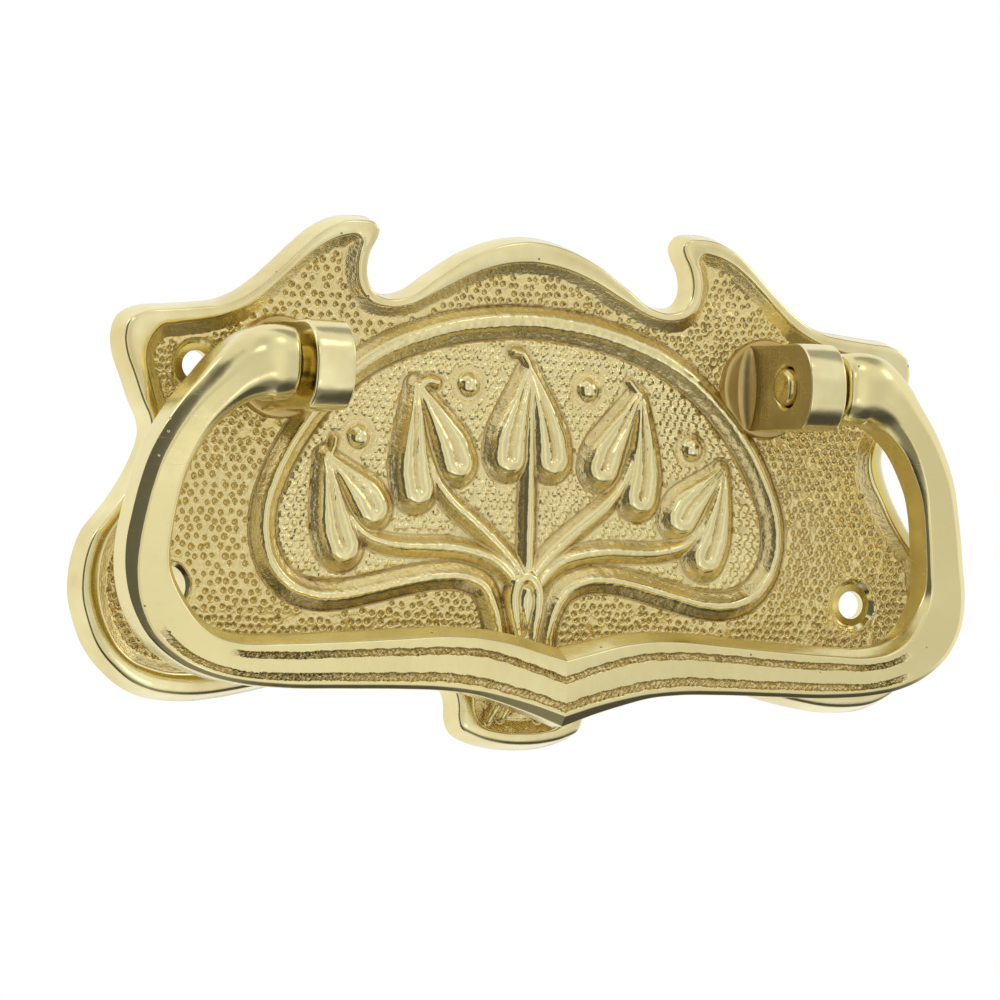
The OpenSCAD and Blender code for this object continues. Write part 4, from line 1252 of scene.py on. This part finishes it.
# Rod turned on a lathe and never polished: even, a little dull
turned = brass("dull_turned_brass", "#DCC888", "#B49450", 0.22, 0.03, specks=0.3)

FINISH = {
    "backplate_rim": polished, "backplate_carving": carved_brass, "bail_casting": bar_brass,
    "post_foot": foot_brass, "post_cove": foot_brass, "post_left": polished,
    "post_right": polished, "pin": turned}
for piece in [o for o in bpy.data.objects if o.type == "MESH" and o.name not in frame["nodes"]]:
    for start_of_name, finish in FINISH.items():
        if piece.name.startswith(start_of_name):
            piece.data.materials.clear()
            piece.data.materials.append(finish)
for hand, word in HANDS:
    post = bpy.data.objects["post_" + word]
    post.data.materials.append(sawn)
    for face in post.data.polygons:
        if face.normal.x * hand < -0.95:
            face.material_index = 1
print("materials:", len(bpy.data.materials))

# %% [markdown]
# ## What each piece stands for
#
# The imported part has four nodes. Each piece made here is attached to the body it moves with,
# and the node it stands in for is hidden. The pins are driven into the bail, so they move with
# it.

# %% Bodies and replaced nodes
for piece in [o for o in bpy.data.objects if o.type == "MESH" and o.name not in frame["nodes"]]:
    if piece.name.startswith(("backplate", "post")):
        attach(piece, "plate")
        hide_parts("backplate")
    elif piece.name.startswith("bail"):
        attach(piece, "bail")
        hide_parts("bail")
    elif piece.name.startswith("pin_"):
        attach(piece, "bail")
        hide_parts("pivot_pin_" + piece.name[4:])
    print(piece.name, len(piece.data.polygons))

# %% [markdown]
# ## Floor and white background
#
# The handle is fixed to a drawer, so it hangs well clear of the floor. The white behind it is
# the world's own colour at a strength of 1.

# %% Floor and world
bpy.ops.object.select_all(action="DESELECT")
bpy.ops.mesh.primitive_plane_add(size=60, location=(0, 0, -0.72))
floor = bpy.context.object
floor.name = "floor"
# Matt white paper: no gloss, so it melts into the background
paper = bpy.data.materials.new("white_paper_floor")
paper.use_nodes = True
paper_shader = paper.node_tree.nodes["Principled BSDF"]
paper_shader.inputs["Base Color"].default_value = linear("#FDFDFC")
paper_shader.inputs["Roughness"].default_value = 0.9
floor.data.materials.append(paper)

world = bpy.data.worlds.new("white_background")
bpy.context.scene.world = world
world.use_nodes = True
world.node_tree.nodes["Background"].inputs["Color"].default_value = (1, 1, 1, 1)
world.node_tree.nodes["Background"].inputs["Strength"].default_value = 1

# %% [markdown]
# ## The light tent
#
# Polished brass has no look of its own: it shows what stands round it. Such a thing is
# photographed in a tent of white cloth, and what gives it shape are the tent's darker parts:
# the opening in front, the table edge below and the roof. The tent is a sphere round the
# handle, with its brightness worked out for each of its points. Only reflections see it, so it
# hides nothing from a camera and throws no shadow.

# %% Light tent
TENT_R = 0.7
bpy.ops.object.select_all(action="DESELECT")
bpy.ops.mesh.primitive_uv_sphere_add(segments=144, ring_count=96, radius=TENT_R)
tent = bpy.context.object
tent.name = "light_tent"
cloth = np.empty(len(tent.data.vertices) * 3, np.float32)
tent.data.vertices.foreach_get("co", cloth)
cloth = cloth.reshape(-1, 3) / TENT_R
tent_azimuth = np.degrees(np.arctan2(cloth[:, 0], -cloth[:, 1]))
tent_height = np.degrees(np.arcsin(np.clip(cloth[:, 2], -1, 1)))


def panel(azimuths, heights, soft):
    """1 over a panel of the tent between two azimuths and heights in degrees, soft at its edges."""
    middle, half = np.mean(azimuths), (azimuths[1] - azimuths[0]) / 2
    off = np.abs((tent_azimuth - middle + 180) % 360 - 180)
    across = smooth_step(half + soft, half - soft, off)
    low, high = heights
    above = smooth_step(low - soft, low + soft, tent_height)
    return across * above * smooth_step(high + soft, high - soft, tent_height)


# Azimuths and heights of each panel, its softness, and the share of the light that it leaves
DARKER = [
    [(26, 62), (-24, 18), 10, 0.74],
    [(-24, 6), (-30, 60), 12, 0.76],
    [(-110, 55), (20, 66), 16, 0.88],
    [(58, 112), (42, 78), 8, 0.42],
    [(-79, -37), (-85, 36), 5, 0.12],
    [(36, 130), (-70, -28), 8, 0.3],
    [(-100, 100), (-78, -38), 8, 0.25]]
# The same for the brighter panels, with the light that each adds
LAMPS = [
    [(-100, -80), (32, 46), 5, 2.0],
    [(-16, -4), (24, 34), 3, 1.6],
    [(60, 72), (20, 32), 3, 1.8],
    [(22, 34), (40, 50), 3, 1.4],
    [(2, 12), (-26, -18), 3, 1.2]]
bright = np.full(len(cloth), 1.0)
for azimuths, heights, soft, share in DARKER:
    bright *= 1 - panel(azimuths, heights, soft) * (1 - share)
for azimuths, heights, soft, added in LAMPS:
    bright += added * panel(azimuths, heights, soft)
glow = tent.data.attributes.new("cloth_light", "FLOAT", "POINT")
glow.data.foreach_set("value", bright.astype(np.float32))
# White cloth lit from outside: an even white wherever the brass reflects it
material = bpy.data.materials.new("lit_white_cloth")
material.use_nodes = True
tree = material.node_tree
tree.nodes.clear()
light = node(tree, "Attribute", "Fac", {"attribute_name": "cloth_light"})
lit = node(tree, "Emission", Color=(1, 1, 1, 1), Strength=light)
node(tree, "OutputMaterial", Surface=lit)
tent.data.materials.append(material)
tent.visible_camera = tent.visible_diffuse = tent.visible_shadow = tent.visible_transmission = False
print("tent brightness", round(float(bright.min()), 2), "to", round(float(bright.max()), 2))

# %% [markdown]
# ## Finish
#
# The view transform is Standard, so a colour shows as it is written.

# %% Finish
bpy.context.scene.view_settings.view_transform = "Standard"
